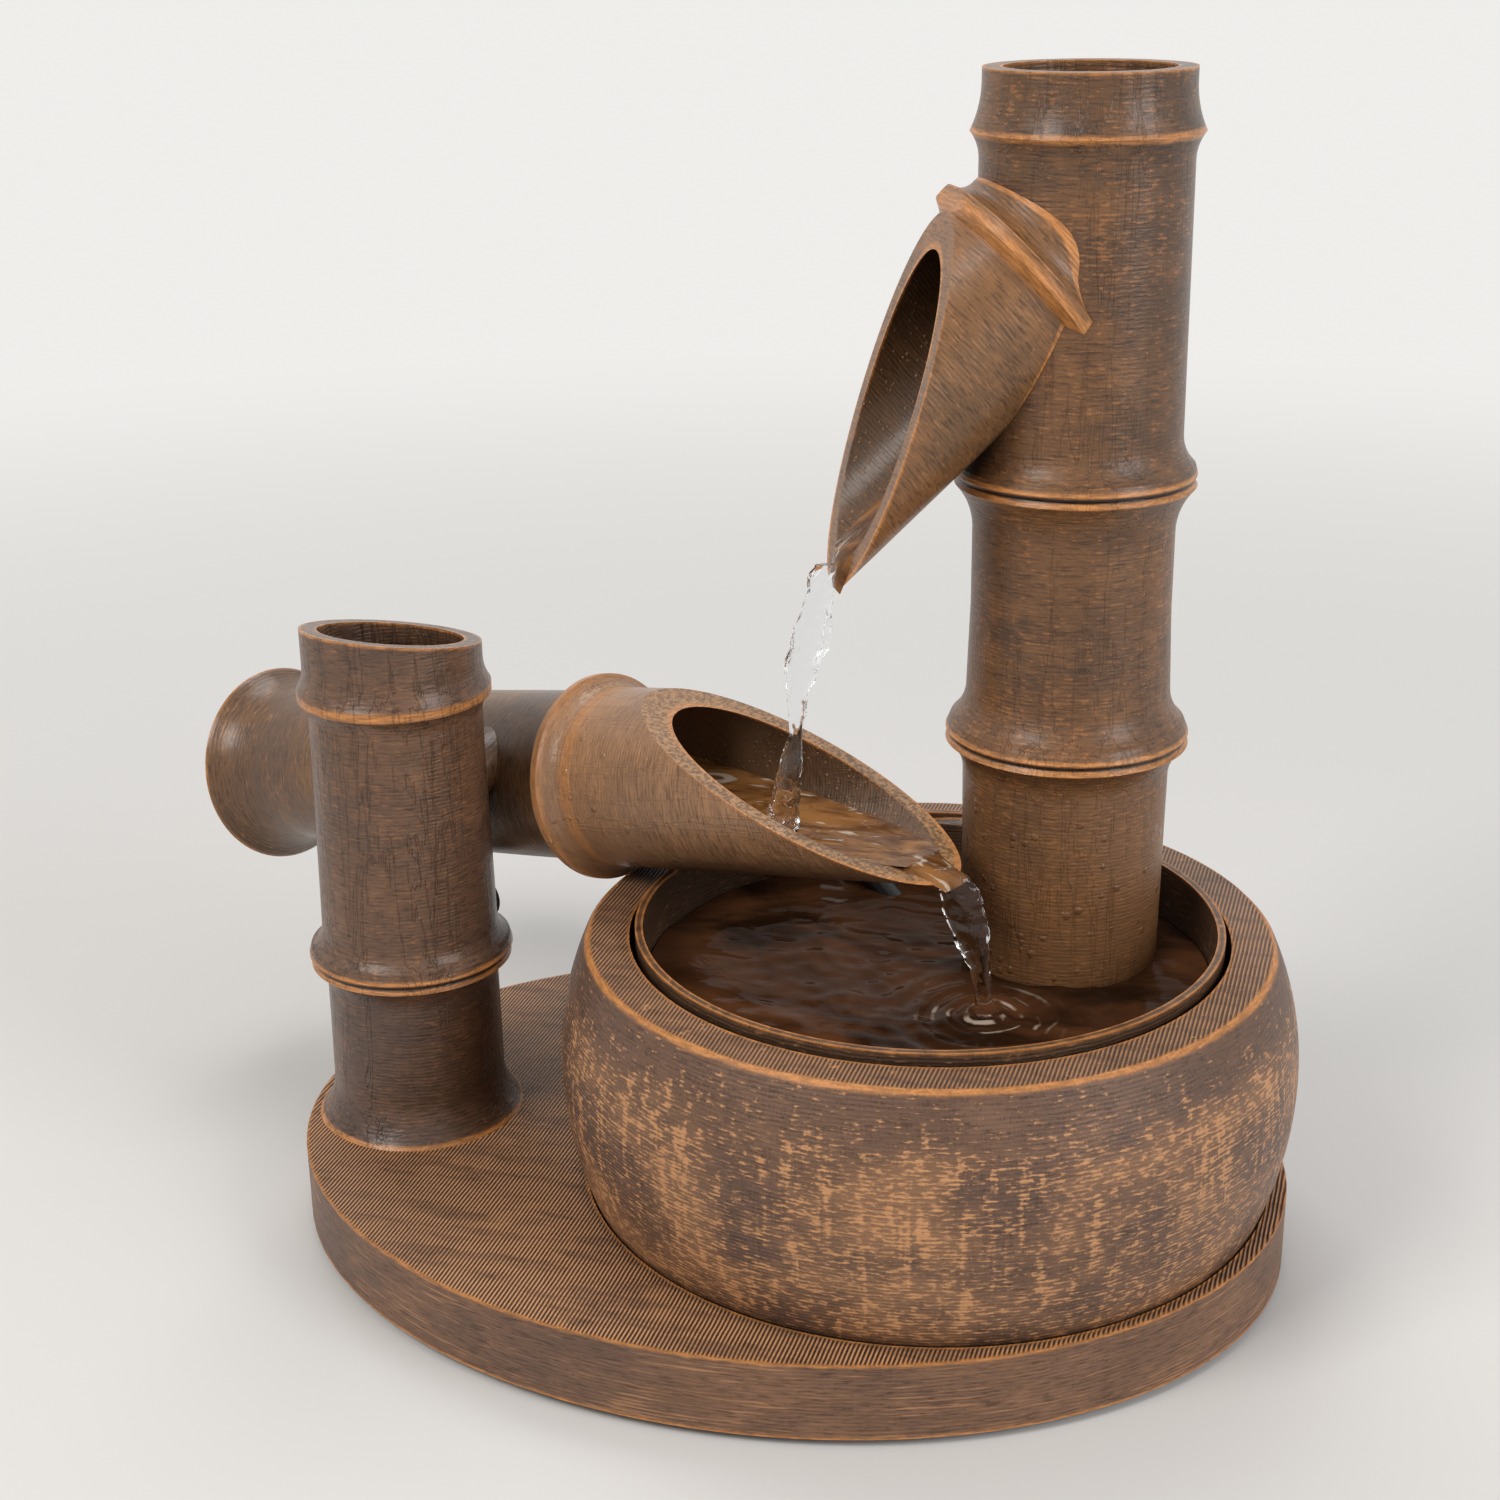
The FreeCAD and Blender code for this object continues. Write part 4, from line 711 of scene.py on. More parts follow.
# %% The whole finish
def bronzed(name, centre=(0, 0, 0), axis=(0, 0, 1), *, cool, warm, flecks, columns=0.3, fleck_share=1.0,
            dash=(330, 330, 1050), bare=None, paste=pale_copper_and_glint, lines=0.3, cross=0.35, hatch=None, furrows=0.85,
            polish=1.0, face=None, bore=None, deep_shade=0.0, edges=0.0012, bands=(), rims=(), grooves=(), rough=0.42,
            runs=0.0, bead_share=0.0, bead_floor=None, wet_film=0.0):
    coat = Coat(name, centre, axis)
    lay_ground(coat, cool, warm, cross)
    brush_on(coat, warm, paste, flecks, columns, fleck_share, dash, bare, lines)
    if hatch is not None:
        hatch_tops(coat, hatch, furrows, polish)
    if face is not None:
        sand_face(coat, face)
    # Painted shade in tight corners, a few millimetres wide.
    paint_shade(coat, 0.005, 0.72, 0.22, 0.85)
    if bore is not None:
        shade_bore(coat, bore)
    # More painted shade far inside the bores.
    if deep_shade:
        paint_shade(coat, 0.06, 0.5, 0.12, deep_shade)
    rub_edges(coat, edges, bands, rims, grooves)
    coat.gloss = reckon(coat.tree, "MULTIPLY_ADD", coat.drift, 0.25, rough - 0.12)
    if runs:
        wet_walls(coat, runs)
    if bead_share:
        splash(coat, bead_share, bead_floor)
    shade(coat.tree, (coat.relief, 0.75, 0.00026), Base_Color=coat.colour, Roughness=coat.gloss,
          Specular_IOR_Level=0.34, Coat_Weight=wet_film, Coat_Roughness=0.22)
    print("mixed", name)
    return coat.material


print("bronzed finish ready")

# %% [markdown]
# ## Where the tubes lie
# The two slanted tubes carry their own axes, so that their lines and bands run round them and not level. The
# rocking tube rises a little towards its mouth even while it pours, and its pin sits just above its axis.

# %% Tube axes
rocker_heading, rocker_tilt = math.radians(-23.3), math.radians(11.5)
rocker_way = Vector((math.cos(rocker_heading), math.sin(rocker_heading), 0))
rocker_axis = rocker_way * math.cos(rocker_tilt) + up * math.sin(rocker_tilt)
rocker_up = up * math.cos(rocker_tilt) - rocker_way * math.sin(rocker_tilt)
pin_way = up.cross(rocker_way)
pin_middle = mm(-86.8, -9.6, 96.52) + pin_way * 0.042
tube_foot = pin_middle - rocker_up * 0.0065
mouth_face = rocker_axis * 0.466 + rocker_up * 0.885

spout_heading, spout_fall = math.radians(209.5), math.radians(42)
spout_way = Vector((math.cos(spout_heading), math.sin(spout_heading), 0))
spout_axis = spout_way * math.cos(spout_fall) - up * math.sin(spout_fall)
spout_root = mm(58.4, 20.3, 226.0)
tube_place, spout_place = tuple(tube_foot * 1000), tuple(spout_root * 1000)
print("tube axis", tuple(round(x, 3) for x in rocker_axis), "spout axis", tuple(round(x, 3) for x in spout_axis))

# %% [markdown]
# ## Plate, bowl and liner
# The plate's flecks are long, low dashes and its top is hatched at 43.5 degrees. The bowl is flecked most,
# except just under its rim, which carries one clear copper line. The liner gets a much darker ground.

# %% Plate, bowl and liner values
plate_finish = bronzed("bronzed_plate", cool=(0.13, 0.072, 0.048, 1), warm=(0.165, 0.086, 0.05, 1), flecks=0.35,
                       columns=0.0, fleck_share=0.55, dash=(70, 70, 1300), hatch=43.5, edges=0.0014, cross=0.1,
                       rough=0.48)
bowl_finish = bronzed("bronzed_bowl", (32.9, 0, 0), cool=(0.105, 0.06, 0.043, 1), warm=(0.13, 0.069, 0.042, 1),
                      flecks=0.9, columns=0.9, dash=(400, 400, 1250), bare=(58, 72), hatch=30.0, furrows=0.35,
                      polish=0.6, rims=[(74.3, 0.85, 73.0)], edges=0.0014, rough=0.46)
liner_finish = bronzed("bronzed_liner", (32.9, 0, 0), cool=(0.06, 0.034, 0.022, 1), warm=(0.08, 0.042, 0.022, 1),
                       flecks=0.0, columns=0.0, fleck_share=0.5, edges=0.0011, rough=0.35)

# %% [markdown]
# ## Column, spout and post
# These stand in the splashing water, so they are wet: runs on the column and the post, beads on the low part
# of the column, and drops in the spout's bore, which gets painted shade. The bands and grooves sit at the bamboo
# rings and seams.

# %% Column, spout and post values
column_finish = bronzed("bronzed_column", (58.4, 20.3, 0), cool=(0.076, 0.04, 0.022, 1), warm=(0.15, 0.069, 0.027, 1),
                        flecks=0.4, columns=0.4, fleck_share=0.5, dash=(420, 420, 1300),
                        paste=(0.42, 0.175, 0.058, 1),
                        bands=[(242.2, 1.1), (173.7, 0.7), (171.5, 0.6), (117.1, 0.7), (114.9, 0.6)],
                        grooves=[(172.6, 0.5), (116.0, 0.5)], lines=0.16, cross=0.12, runs=0.6, bead_share=0.16,
                        bead_floor=(122, 88), rough=0.38, wet_film=0.16)
spout_finish = bronzed("bronzed_spout", spout_place, tuple(spout_axis), cool=(0.155, 0.078, 0.033, 1),
                       warm=(0.225, 0.103, 0.039, 1), flecks=0.3, columns=0.0, fleck_share=0.4,
                       paste=(0.44, 0.2, 0.08, 1), lines=0.2, edges=0.0009, bands=[(19.0, 2.2)], cross=0.1,
                       rough=0.38, deep_shade=0.9, bore=16.5, wet_film=0.15)
post_finish = bronzed("bronzed_post", (-86.8, -9.6, 0), cool=(0.088, 0.051, 0.036, 1), warm=(0.135, 0.069, 0.038, 1),
                      flecks=0.2, columns=0.4, fleck_share=0.4, dash=(420, 420, 1300), paste=(0.36, 0.16, 0.06, 1),
                      bands=[(122.5, 1.3), (60.5, 0.7), (58.3, 0.6)], grooves=[(59.4, 0.5)], lines=0.2,
                      cross=0.15, runs=1.1, rough=0.36, deep_shade=0.8, wet_film=0.2)

# %% [markdown]
# ## The rocking tube
# Its tail is the plainer half. The mouth half is painted lighter, a painted highlight for the light that falls on it,
# with a bore in painted shade, a sanded lip and a few beads near its ring.

# %% Rocking tube values
rocker_finish = bronzed("bronzed_rocker", tube_place, tuple(rocker_axis), cool=(0.12, 0.063, 0.036, 1),
                        warm=(0.155, 0.075, 0.029, 1), flecks=0.2, fleck_share=0.35, bands=[(-100.3, 0.9)],
                        lines=0.2, cross=0.1, rough=0.35, wet_film=0.25)
# Lighter tones than the tail's, standing for a painted highlight.
mouth_finish = bronzed("bronzed_mouth", tube_place, tuple(rocker_axis), cool=(0.19, 0.108, 0.062, 1),
                       warm=(0.265, 0.138, 0.068, 1), flecks=0.35, fleck_share=0.45, lines=0.2, cross=0.1, runs=0.3,
                       bead_share=0.06, bead_floor=(72, 30), edges=0.0009, bands=[(23.6, 1.7)], face=mouth_face,
                       deep_shade=0.85, bore=16.4, rough=0.36, wet_film=0.25)

# %% [markdown]
# ## Bought parts
# The pump, hose, lead, plug and fixings come from a shop, so they have plain moulded, drawn or woven
# finishes. Each still gets a fine grain in its bump and its gloss, because no moulding is perfectly even.

# %% Bought finishes
def moulded(name, colour, rough, speck=900.0, metallic=0.0, clear=0.0, streak=(1, 1, 1)):
    material, tree = start(name)
    place = object_place(tree)
    speckle = grain(tree, stretched(tree, place, streak), speck, 3.0, 0.6)
    dust = between(tree, grain(tree, place, 60.0, 4.0, 0.65), 0.35, 0.7)
    shade(tree, (speckle, 0.5, 0.00006), Base_Color=mixed(tree, dust, tint(colour, 0.72), colour),
          Roughness=reckon(tree, "MULTIPLY_ADD", speckle, 0.16, rough - 0.08), Metallic=metallic,
          Transmission_Weight=clear)
    return material


rubber = moulded("black_rubber", (0.022, 0.022, 0.022, 1), 0.6)
steel = moulded("plain_steel", (0.55, 0.55, 0.56, 1), 0.3, metallic=1.0, streak=(1, 1, 0.08))
vinyl = moulded("cloudy_vinyl_hose", (0.62, 0.66, 0.64, 1), 0.2, clear=0.55)
pump_black = moulded("black_moulding", (0.02, 0.02, 0.022, 1), 0.3)
nylon = moulded("white_nylon", (0.75, 0.74, 0.7, 1), 0.45)
ferrite = moulded("ferrite", (0.06, 0.06, 0.065, 1), 0.5, speck=2500.0)
sheath = moulded("lead_sheath", (0.016, 0.016, 0.017, 1), 0.38, speck=1500.0)
nickel = moulded("nickel_plate", (0.72, 0.7, 0.66, 1), 0.18, metallic=1.0)
print("bought finishes ready")

# %% [markdown]
# ## Webbing
# The tie is woven. Two crossed sines lift the threads over and under each other, and a fuzzy noise frays them.

# %% Woven finish
thread_width = 0.0006
webbing, tree = start("woven_webbing")
place = object_place(tree)
turned = stretched(tree, place, (1, 1, 1), (0, math.radians(90), 0))
warp, weft = (use(tree, printed_lines, Vector=way, Spacing=thread_width, Wander=0.0001)["Height"]
              for way in (place, turned))
threads = times(tree, warp, weft)
fuzz = reckon(tree, "MULTIPLY_ADD", grain(tree, place, 3000.0, 2.0), 0.4, threads)
shade(tree, (fuzz, 0.8, 0.0002), Roughness=0.9,
      Base_Color=mixed(tree, threads, (0.008, 0.008, 0.008, 1), (0.045, 0.045, 0.045, 1)))
print("woven from threads of", thread_width * 1000, "mm")

# %% [markdown]
# ## Dress the solids
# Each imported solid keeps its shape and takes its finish. Smooth shading with sharp edges kept hides the
# facets of the round walls without rounding their rims.

# %% Finishes by piece
finishes = {
    plate_finish: ["base_plate"],
    bowl_finish: ["outer_bowl"],
    liner_finish: ["inner_bowl", "rear_panel"],
    column_finish: ["column_lower", "column_middle", "column_upper"],
    spout_finish: ["spout", "spout_insert"],
    post_finish: ["post_lower", "post_upper", "stop_peg"],
    rocker_finish: ["rocker_tail", "rocker_bulkhead", "tail_cap"],
    mouth_finish: ["rocker_mouth"],
    rubber: ["base_pad", "pump_cups", "pump_seal", "stop_buffer", "lead_gland"],
    steel: ["bowl_screws", "post_screws", "rear_panel_screw", "hose_clip", "pump_shaft", "pivot_pin", "pivot_clip"],
    vinyl: ["delivery_hose"],
    pump_black: ["pump_strainer", "pump_cover", "pump_body", "plug_core", "plug_body"],
    nylon: ["pump_impeller", "pivot_washer", "near_bush", "far_bush"],
    ferrite: ["pump_magnet"],
    sheath: ["pump_lead", "lead_coil"],
    webbing: ["lead_tie"],
    nickel: ["plug_barrel"],
}


def dress(piece, material):
    piece.data.materials.clear()
    piece.data.materials.append(material)


for material, names in finishes.items():
    for name in names:
        dress(nodes[name], material)
        smooth_but_sharp(nodes[name].data, 28)
for piece, material in ((lead, sheath), (gland, rubber), (plug, pump_black), (tie, webbing)):
    dress(piece, material)
dressed = {name for names in finishes.values() for name in names}
print("dressed", len(dressed), "solids, left out:", sorted(set(nodes) - dressed))

# %% [markdown]
# ## Clear water
# Water is glass with a lower index. Glass alone would throw a dark shadow, so shadow rays and bounced light
# pass straight through, and what lies under the water stays lit.

# %% Clear water
def seen_by(tree, *kinds):
    """1 for rays of these kinds, such as Camera or Shadow."""
    rays = put(tree, "ShaderNodeLightPath").outputs
    mask = rays[f"Is {kinds[0]} Ray"]
    for kind in kinds[1:]:
        mask = reckon(tree, "MAXIMUM", mask, rays[f"Is {kind} Ray"])
    return mask


def switch(tree, mask, shader, other, output="Material Output"):
    """Show one shader, and the other where the mask is 1."""
    either = put(tree, "ShaderNodeMixShader", {0: mask, 1: shader.outputs[0], 2: other.outputs[0]})
    feed(tree, tree.nodes[output].inputs["Surface"], either.outputs[0])


water, tree = start("water")
swirl = grain(tree, object_place(tree), 260.0, 3.0, 0.5, 0.6)
glass = shade(tree, (swirl, 0.35, 0.0006), Base_Color=(0.97, 0.98, 1.0, 1), Roughness=0.02, IOR=1.33,
              Transmission_Weight=1.0)
switch(tree, seen_by(tree, "Shadow", "Diffuse"), glass, put(tree, "ShaderNodeBsdfTransparent"))
print("made", water.name)

# %% [markdown]
# ## Water in the bamboo
# In a thin layer on a brown wall, what shows is the wall's amber with pale highlights on the ripples, painted into
# the colour. That is quicker and steadier to draw as a mostly solid, very glossy skin with a little transmission than
# as glass.

# %% Channel water finish
channel, tree = start("channel_water")
place = object_place(tree)
flow = streaks(tree, place, (60, 130, 90), 4.0, 0.6, 1.2)
painted_gleam = streaks(tree, place, (75, 210, 120), 2.0, 0.5, 1.6)
amber = mixed(tree, between(tree, flow, 0.34, 0.66), (0.12, 0.045, 0.012, 1), (0.36, 0.16, 0.05, 1))
# Painted highlights: pale streaks along the flow.
amber = mixed(tree, between(tree, painted_gleam, 0.62, 0.7, 0.0, 0.75), amber, (0.72, 0.6, 0.48, 1))
shade(tree, (flow, 0.6, 0.0012), Base_Color=amber, Roughness=0.07, IOR=1.25, Transmission_Weight=0.25)
print("made", channel.name)

# %% [markdown]
# ## Water in the bowl
# The dark liner shows through as brown clouds, under pale broken rings round where the stream lands, which are
# painted highlights. The rings are a sine of the distance from there, bent by the clouds and broken by a finer noise.

# %% Pool finish
landing = mm(49.8, -18.8, 64.25)
glint_ring_spacing = 0.0034
pond, tree = start("pool_water")
place = object_place(tree)
swirl = streaks(tree, place, (70, 110, 90), 3.0, 0.5, 0.9)
clouds = streaks(tree, place, (24, 42, 30), 4.0, 0.6, 0.8)
murk_and_glints = mixed(tree, between(tree, clouds, 0.34, 0.66), (0.026, 0.011, 0.005, 1), (0.14, 0.054, 0.022, 1))
away = vector_reckon(tree, "DISTANCE", place, tuple(landing))
wavy = reckon(tree, "MULTIPLY_ADD", minus(tree, clouds, 0.5), 0.006, away)
glint_rings = reckon(tree, "SINE", times(tree, wavy, 2 * math.pi / glint_ring_spacing))
# Painted highlights: pale broken rings round the landing.
painted_glints = times(tree, between(tree, glint_rings, 0.55, 0.95), between(tree, away, 0.019, 0.008),
               between(tree, grain(tree, place, 150.0, 2.0), 0.5, 0.62))
murk_and_glints = mixed(tree, times(tree, painted_glints, 0.75), murk_and_glints, (0.62, 0.5, 0.4, 1))
shade(tree, (swirl, 0.4, 0.0008), Base_Color=murk_and_glints, Roughness=0.09, IOR=1.09, Transmission_Weight=0.25)
print("made", pond.name)

# %% [markdown]
# ### The pool
# Rings spread from where the stream lands, and a low swell runs over the rest. The top is a fine grid of
# rings round the bowl's axis, whose heights are a sum of waves that die away with distance.

# %% Pool
pool_centre, pool_radius, pool_level, pool_floor = mm(32.9, 0, 0), 0.0619, 0.06425, 0.0238
ring_height, ring_length, ring_reach = 0.0009, 0.0062, 0.013
crown_height, crown_radius, crown_width = 0.0014, 0.0045, 0.0022
swell_height, chop_height = 0.0007, 0.00035


def pool_height(x, y):
    away = math.hypot(x - landing.x, y - landing.y)
    rings = ring_height * math.sin(away * 2 * math.pi / ring_length - 1.2) * math.exp(-away / ring_reach)
    crown = crown_height * math.exp(-((away - crown_radius) / crown_width) ** 2)
    swell = swell_height * noise.noise(Vector((x * 55, y * 90, 0.3)))
    swell += chop_height * noise.noise(Vector((x * 160, y * 260, 2)))
    return pool_level + rings + crown + swell


def pool(ring_count=90, steps=200):
    work = bmesh.new()
    rings = []
    for ring in range(ring_count + 1):
        radius = pool_radius * ring / ring_count
        turns = [2 * math.pi * step / steps for step in range(steps if ring else 1)]
        spots = [(pool_centre.x + radius * math.cos(turn), pool_centre.y + radius * math.sin(turn))
                 for turn in turns]
        rings.append([work.verts.new((x, y, pool_height(x, y))) for x, y in spots])
    under = [work.verts.new((v.co.x, v.co.y, pool_floor)) for v in rings[-1]]
    bridge(work, rings + [under])
    work.faces.new(under[::-1])
    return finish_mesh("pool_water", work, sharp=60)


pool_piece = pool()
dress(pool_piece, pond)
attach(pool_piece, "root")

# %% [markdown]
# ### Water in the two channels
# In the rocking tube the puddle is level with the lip, so at each place its width is the bore's chord at that
# level. In the spout a thin film runs down the bottom. Both keep to the bore on their underside.

# %% Channel shape
def channel_water(name, place_of, bore, stations, surface_of, ripple_of, steps=24):
    """place_of(along, side, height) gives a point, surface_of(along) the surface's height from the axis."""
    work = bmesh.new()
    rings = []
    for along in stations:
        middle = surface_of(along)
        half = math.sqrt(bore ** 2 - middle ** 2)
        reach = math.atan2(half, -middle)
        points = []
        for i in range(steps + 1):
            side = half * (1 - 2 * i / steps)
            ripple = ripple_of(along, side) * (1 - abs(side / half) ** 4)
            points.append(place_of(along, side * 0.995, middle + ripple))
        for i in range(1, steps):
            turn = -reach + 2 * reach * i / steps
            points.append(place_of(along, bore * math.sin(turn), -bore * math.cos(turn)))
        rings.append([work.verts.new(point) for point in points])
    bridge(work, rings, capped=True)
    return finish_mesh(name, work, sharp=50)


tube_bore, spout_bore = 16.28, 16.38
spout_side = up.cross(spout_way)
spout_up = spout_way * math.sin(spout_fall) + up * math.cos(spout_fall)


def tube_point(along, side, height):
    return tube_foot + (rocker_axis * along + pin_way * side + rocker_up * height) * 0.001


def spout_point(along, side, height):
    return spout_root + (spout_axis * along + spout_side * side + spout_up * height) * 0.001


print("channels", tube_bore, "and", spout_bore, "mm in radius")

# %% [markdown]
# ### The puddle and the film
# The puddle fills the tube from its bulkhead to the lip, with a bump where the stream lands. The film is a
# few millimetres wide and wanders a little, as water does on a wall that doesn't quite wet.

# %% Puddle and film
puddle_level = 97.9
splash_at, splash_along, splash_side = 67.8, 3.5, 5.0


def puddle_surface(along):
    middle = (puddle_level - 1000 * tube_point(along, 0, 0).z) / math.cos(rocker_tilt)
    return max(min(middle, tube_bore - 0.3), -tube_bore + 0.35)


def puddle_ripple(along, side):
    bump = 0.6 * math.exp(-((along - splash_at) / splash_along) ** 2 - (side / splash_side) ** 2)
    return 0.35 * noise.noise(Vector((along * 0.09, side * 0.35, 1.7))) + bump


def film_surface(along):
    half = 4.2 + 1.2 * noise.noise(Vector((along * 0.12, 0.4, 3.1)))
    return -math.sqrt(spout_bore ** 2 - half ** 2) + 0.35


def film_ripple(along, side):
    return 0.6 + 0.5 * noise.noise(Vector((along * 0.22, side * 0.5, 5.2)))


puddle_piece = channel_water("tube_puddle", tube_point, tube_bore, [32.9 + 80.1 * i / 60 for i in range(61)],
                             puddle_surface, puddle_ripple)
film_piece = channel_water("spout_film", spout_point, spout_bore, [30.0 + 52.2 * i / 40 for i in range(41)],
                           film_surface, film_ripple)

# %% [markdown]
# ### Water over the lips
# Water clings to a lip and goes over it as a domed tongue. The tongue is lofted through a few rows, read off
# the lip's shape: how far along the channel, how far aside, the foot's height, the half width, the thickness.

# %% Lip sheets
def lip_sheet(name, place_of, path, steps=16):
    work = bmesh.new()
    rings = []
    turns = [math.pi * i / steps for i in range(steps + 1)]
    for near, far in zip(path, path[1:] + path[-1:]):
        for share in ([0, 0.25, 0.5, 0.75] if far is not near else [0]):
            along, side, foot, half, thick = [a + (b - a) * share for a, b in zip(near, far)]
            points = []
            for turn in turns:
                wave = 1 + 0.25 * noise.noise(Vector((along * 0.3, turn * 2.5, 8.1)))
                points.append(place_of(along, side + half * math.cos(turn), foot + thick * wave * math.sin(turn)))
            points.append(place_of(along, side, foot - 0.15))
            rings.append([work.verts.new(point) for point in points])
    bridge(work, rings, capped=True)
    return finish_mesh(name, work, sharp=60)


tube_sheet = lip_sheet("tube_lip_sheet", tube_point, [
    (105.0, 0, -16.2, 5.2, 0.8), (110.0, 0, -16.1, 6.6, 1.8), (113.0, 0, -16.6, 6.0, 1.8),
    (116.5, 0, -18.45, 4.9, 1.6), (119.4, 0, -19.95, 4.2, 1.4), (120.3, 0, -21.0, 3.6, 0.9),
])
spout_sheet = lip_sheet("spout_lip_sheet", spout_point, [
    (62.0, 0.5, -16.35, 5.0, 0.8), (76.0, 1.0, -16.35, 5.8, 1.4), (81.5, 1.6, -16.35, 5.8, 1.7),
    (84.0, 2.0, -17.4, 5.4, 1.9), (87.4, 2.2, -19.3, 4.6, 1.7), (88.4, 2.3, -19.95, 4.0, 1.2),
])
for piece, body in ((puddle_piece, "rocker"), (tube_sheet, "rocker"), (film_piece, "root"), (spout_sheet, "root")):
    dress(piece, channel)
    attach(piece, body)

# %% [markdown]
# ### The shape of a stream
# A stream is swept: at each height it has a middle, a width and a thinner depth, and noise makes its
# skin ragged. Between the rows of its table everything changes smoothly.

# %% Stream shape
def smooth_between(table, height):
    """Read a table of (height, ...numbers), sorted downwards, with a smooth curve through it."""
    for above, below in zip(table, table[1:]):
        if above[0] >= height >= below[0]:
            share = (above[0] - height) / (above[0] - below[0])
            share = share * share * (3 - 2 * share)
            return [a + (b - a) * share for a, b in zip(above[1:], below[1:])]
    return list(table[-1][1:])


def stream(name, table, across, ragged, seed, rows=110, steps=36):
    """Each row of the table is (height, x, y, width, depth) in millimetres."""
    work = bmesh.new()
    rings = []
    top, bottom = table[0][0], table[-1][0]
    facing = across.cross(up)
    for row in range(rows + 1):
        height = top + (bottom - top) * row / rows
        x, y, width, depth = smooth_between(table, height)
        ring = []
        for step in range(steps):
            turn = 2 * math.pi * step / steps
            rough = noise.noise(Vector((math.cos(turn) * 1.3, math.sin(turn) * 1.3 + seed, height * 0.16)))
            fine = noise.noise(Vector((math.cos(turn) * 3.0, math.sin(turn) * 3.0 + seed, height * 0.55)))
            swell = 1 + ragged * (0.55 * rough + 0.3 * fine)
            offset = across * (math.cos(turn) * width / 2) + facing * (math.sin(turn) * depth / 2)
            ring.append(work.verts.new(mm(x, y, height) + offset * 0.001 * swell))
        rings.append(ring)
    bridge(work, rings, capped=True)
    return finish_mesh(name, work, sharp=80)


view_side = Vector((camera_side.x, camera_side.y, 0)).normalized()
print("streams are broad across", tuple(round(x, 3) for x in view_side))

# %% [markdown]
# ### The two streams
# The upper one falls from the spout into the tube, the lower one from the tube's lip into the pool. Each
# hangs between a fixed part and a moving one.

# %% Streams
upper_table = [
    (157.5, 13.0, -8.4, 5.5, 2.0), (154.3, 11.35, -9.3, 5.2, 2.6), (148.0, 10.5, -9.8, 6.4, 3.0),
    (141.6, 9.3, -10.5, 7.8, 3.2), (135.2, 7.8, -11.3, 6.8, 2.8), (128.6, 7.1, -11.7, 4.2, 2.6),
    (122.0, 6.6, -12.0, 3.0, 2.4), (115.4, 5.9, -12.2, 4.2, 3.0), (108.7, 4.7, -12.0, 5.7, 3.6),
    (103.1, 3.8, -11.6, 5.9, 4.0), (98.3, 3.2, -11.2, 7.2, 5.0),
]
lower_table = [
    (96.8, 40.0, -18.5, 6.2, 1.8), (95.4, 42.1, -19.3, 8.0, 2.4), (92.7, 43.9, -19.35, 8.6, 3.0),
    (89.6, 44.6, -19.3, 8.6, 3.4), (86.5, 45.4, -19.2, 8.4, 3.6), (82.3, 46.5, -19.1, 7.6, 3.8),
    (77.4, 47.8, -19.0, 5.4, 3.6), (74.9, 48.5, -18.9, 4.3, 3.4), (68.5, 49.4, -18.8, 3.6, 3.2),
    (65.6, 49.7, -18.8, 4.4, 4.0), (63.9, 49.8, -18.8, 6.5, 6.0),
]
upper_stream = stream("upper_stream", upper_table, view_side, 0.55, 3.0)
lower_stream = stream("lower_stream", lower_table, view_side, 0.3, 9.0)
for piece in (upper_stream, lower_stream):
    dress(piece, water)
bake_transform(upper_stream)
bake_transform(lower_stream)

# %% [markdown]
# ## The floor
# A plain pale floor that fills the view. Far from the lamps it would go grey, so there it fades into a steady
# pale glow that only the camera, mirrors and water see: near the object it is an ordinary lit floor with a
# shadow.

# %% Floor
glow_colour = (0.86, 0.85, 0.83, 1)
glow_starts, glow_full = 0.25, 1.1
seen_kinds = ("Glossy", "Transmission", "Camera")

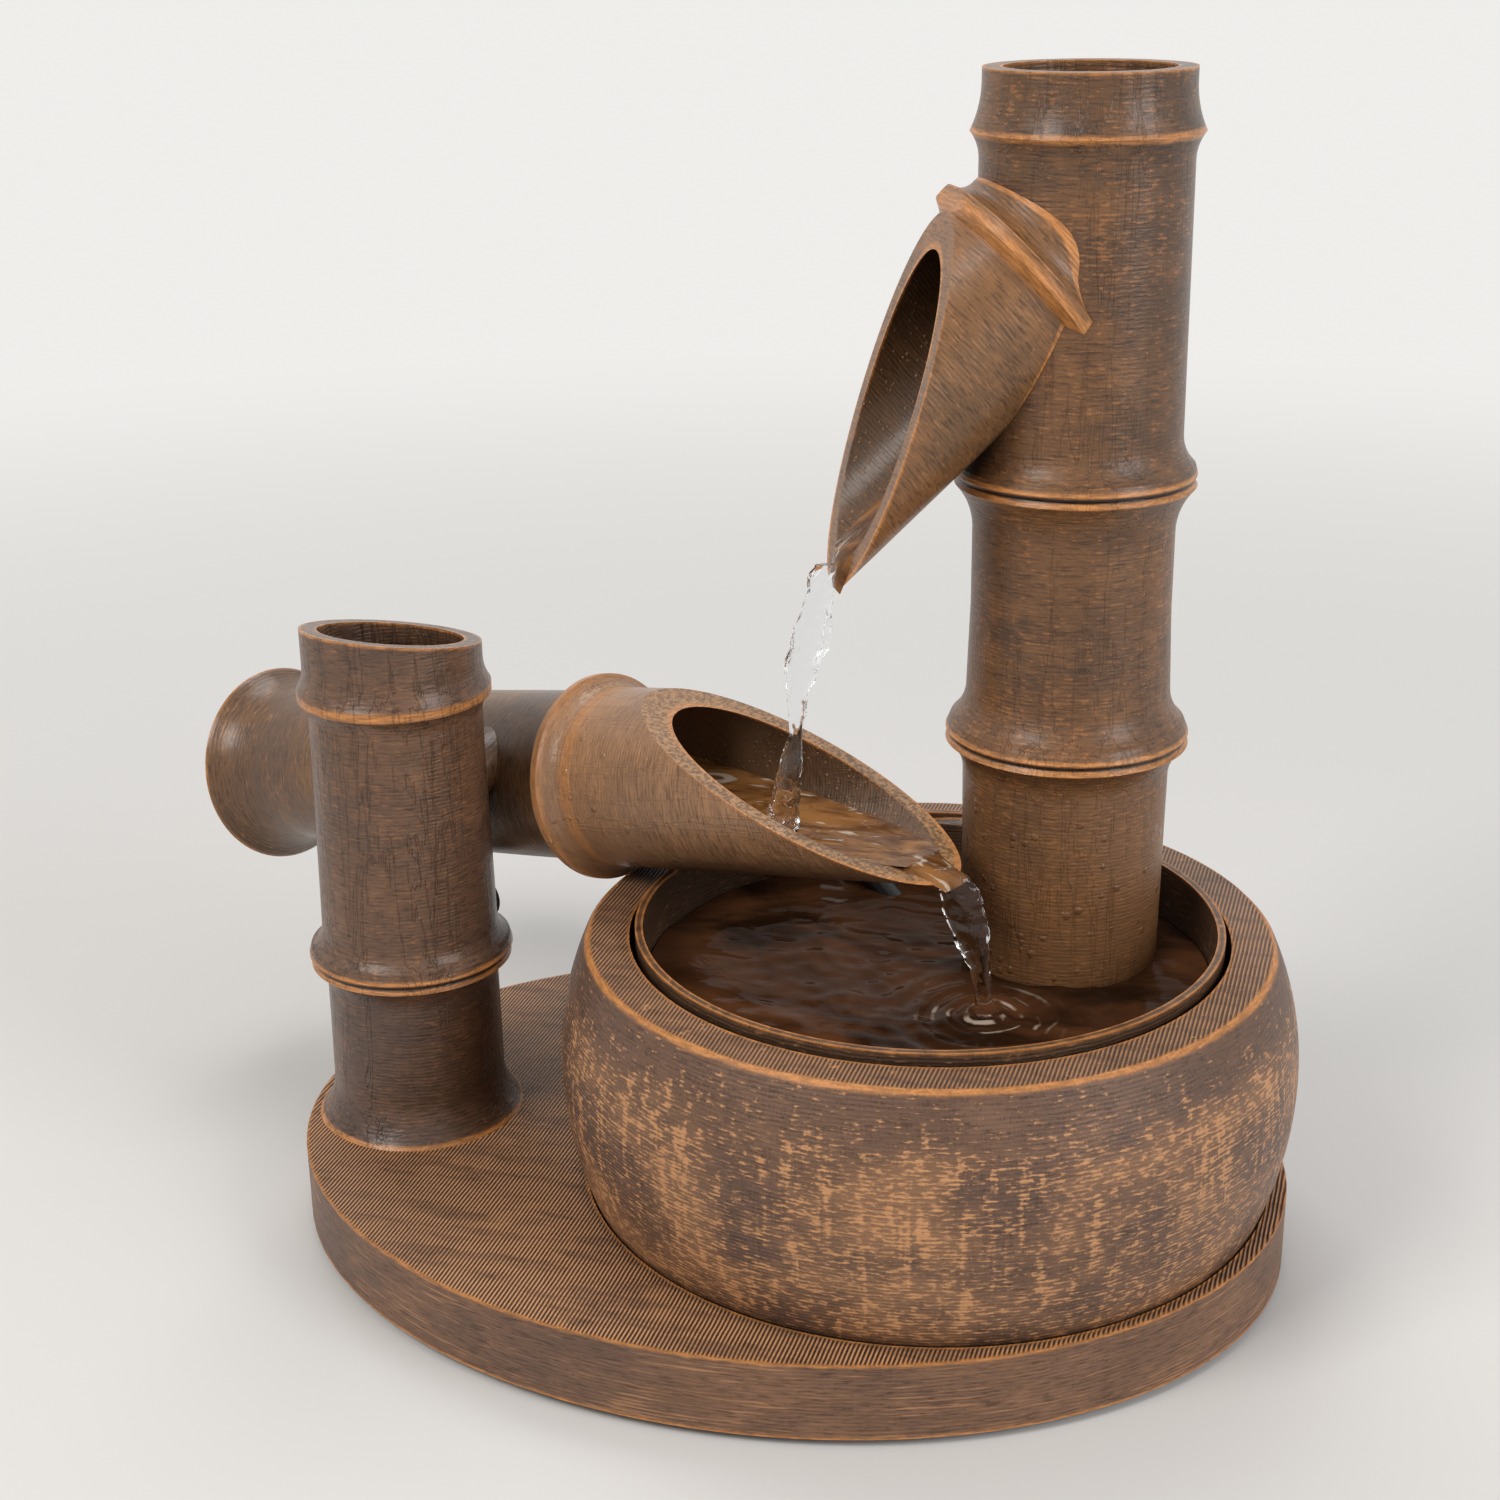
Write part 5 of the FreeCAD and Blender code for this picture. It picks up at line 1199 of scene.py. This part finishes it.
floor_mesh = bpy.data.meshes.new("floor")
floor_mesh.from_pydata([(-12, -12, 0), (12, -12, 0), (12, 14, 0), (-12, 14, 0)], [], [(0, 1, 2, 3)])
floor = add_object("floor", floor_mesh)
paper, tree = start("pale_floor")
lit = shade(tree, None, Base_Color=(0.66, 0.65, 0.635, 1), Roughness=0.75)
away = vector_reckon(tree, "LENGTH", object_place(tree))
faded = times(tree, between(tree, away, glow_starts, glow_full), seen_by(tree, *seen_kinds))
switch(tree, faded, lit, put(tree, "ShaderNodeEmission", {"Color": glow_colour}))
dress(floor, paper)
floor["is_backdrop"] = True
print("floor glows from", glow_starts, "to", glow_full, "m")

# %% [markdown]
# ## Sky and lamps
# The world is a pale sky that lights the object softly, and the camera sees it as bright as the floor's glow.
# Three large soft lamps stay low enough that a colour renders about as it is written.

# %% Sky and lamps
world = bpy.data.worlds.new("soft_sky")
world.use_nodes = True
sky = world.node_tree
soft = sky.nodes["Background"]
soft.inputs["Color"].default_value = (0.93, 0.92, 0.91, 1)
soft.inputs["Strength"].default_value = 0.5
pale = put(sky, "ShaderNodeBackground", {"Color": glow_colour})
switch(sky, seen_by(sky, *seen_kinds), soft, pale, output="World Output")
scene.world = world


def lamp(name, place, target, size, watts, tone=(1, 1, 1)):
    data = bpy.data.lights.new(name, "AREA")
    data.size = size
    data.energy = watts
    data.color = tone
    add_object(name, data).matrix_world = frame_of(Vector(place), Vector(place) - Vector(target), up)


lamp("key_lamp", (-0.5, -0.75, 0.95), (0, 0, 0.08), 0.5, 8.2, (1.0, 0.97, 0.93))
lamp("side_lamp", (0.95, -0.35, 0.55), (0.03, 0, 0.1), 0.5, 5.4, (0.98, 0.98, 1.0))
lamp("back_lamp", (-0.25, 0.6, 1.25), (0, 0, 0.1), 0.6, 5.0)
scene.view_settings.view_transform = "Standard"

# %% [markdown]
# ## The size
# Both boxes are written down: the solids' box near the start and the dressed one here. The dressed
# model has to stay inside the solids' box.

# %% Finish
dressed_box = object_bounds()
show_box("dressed box", dressed_box)
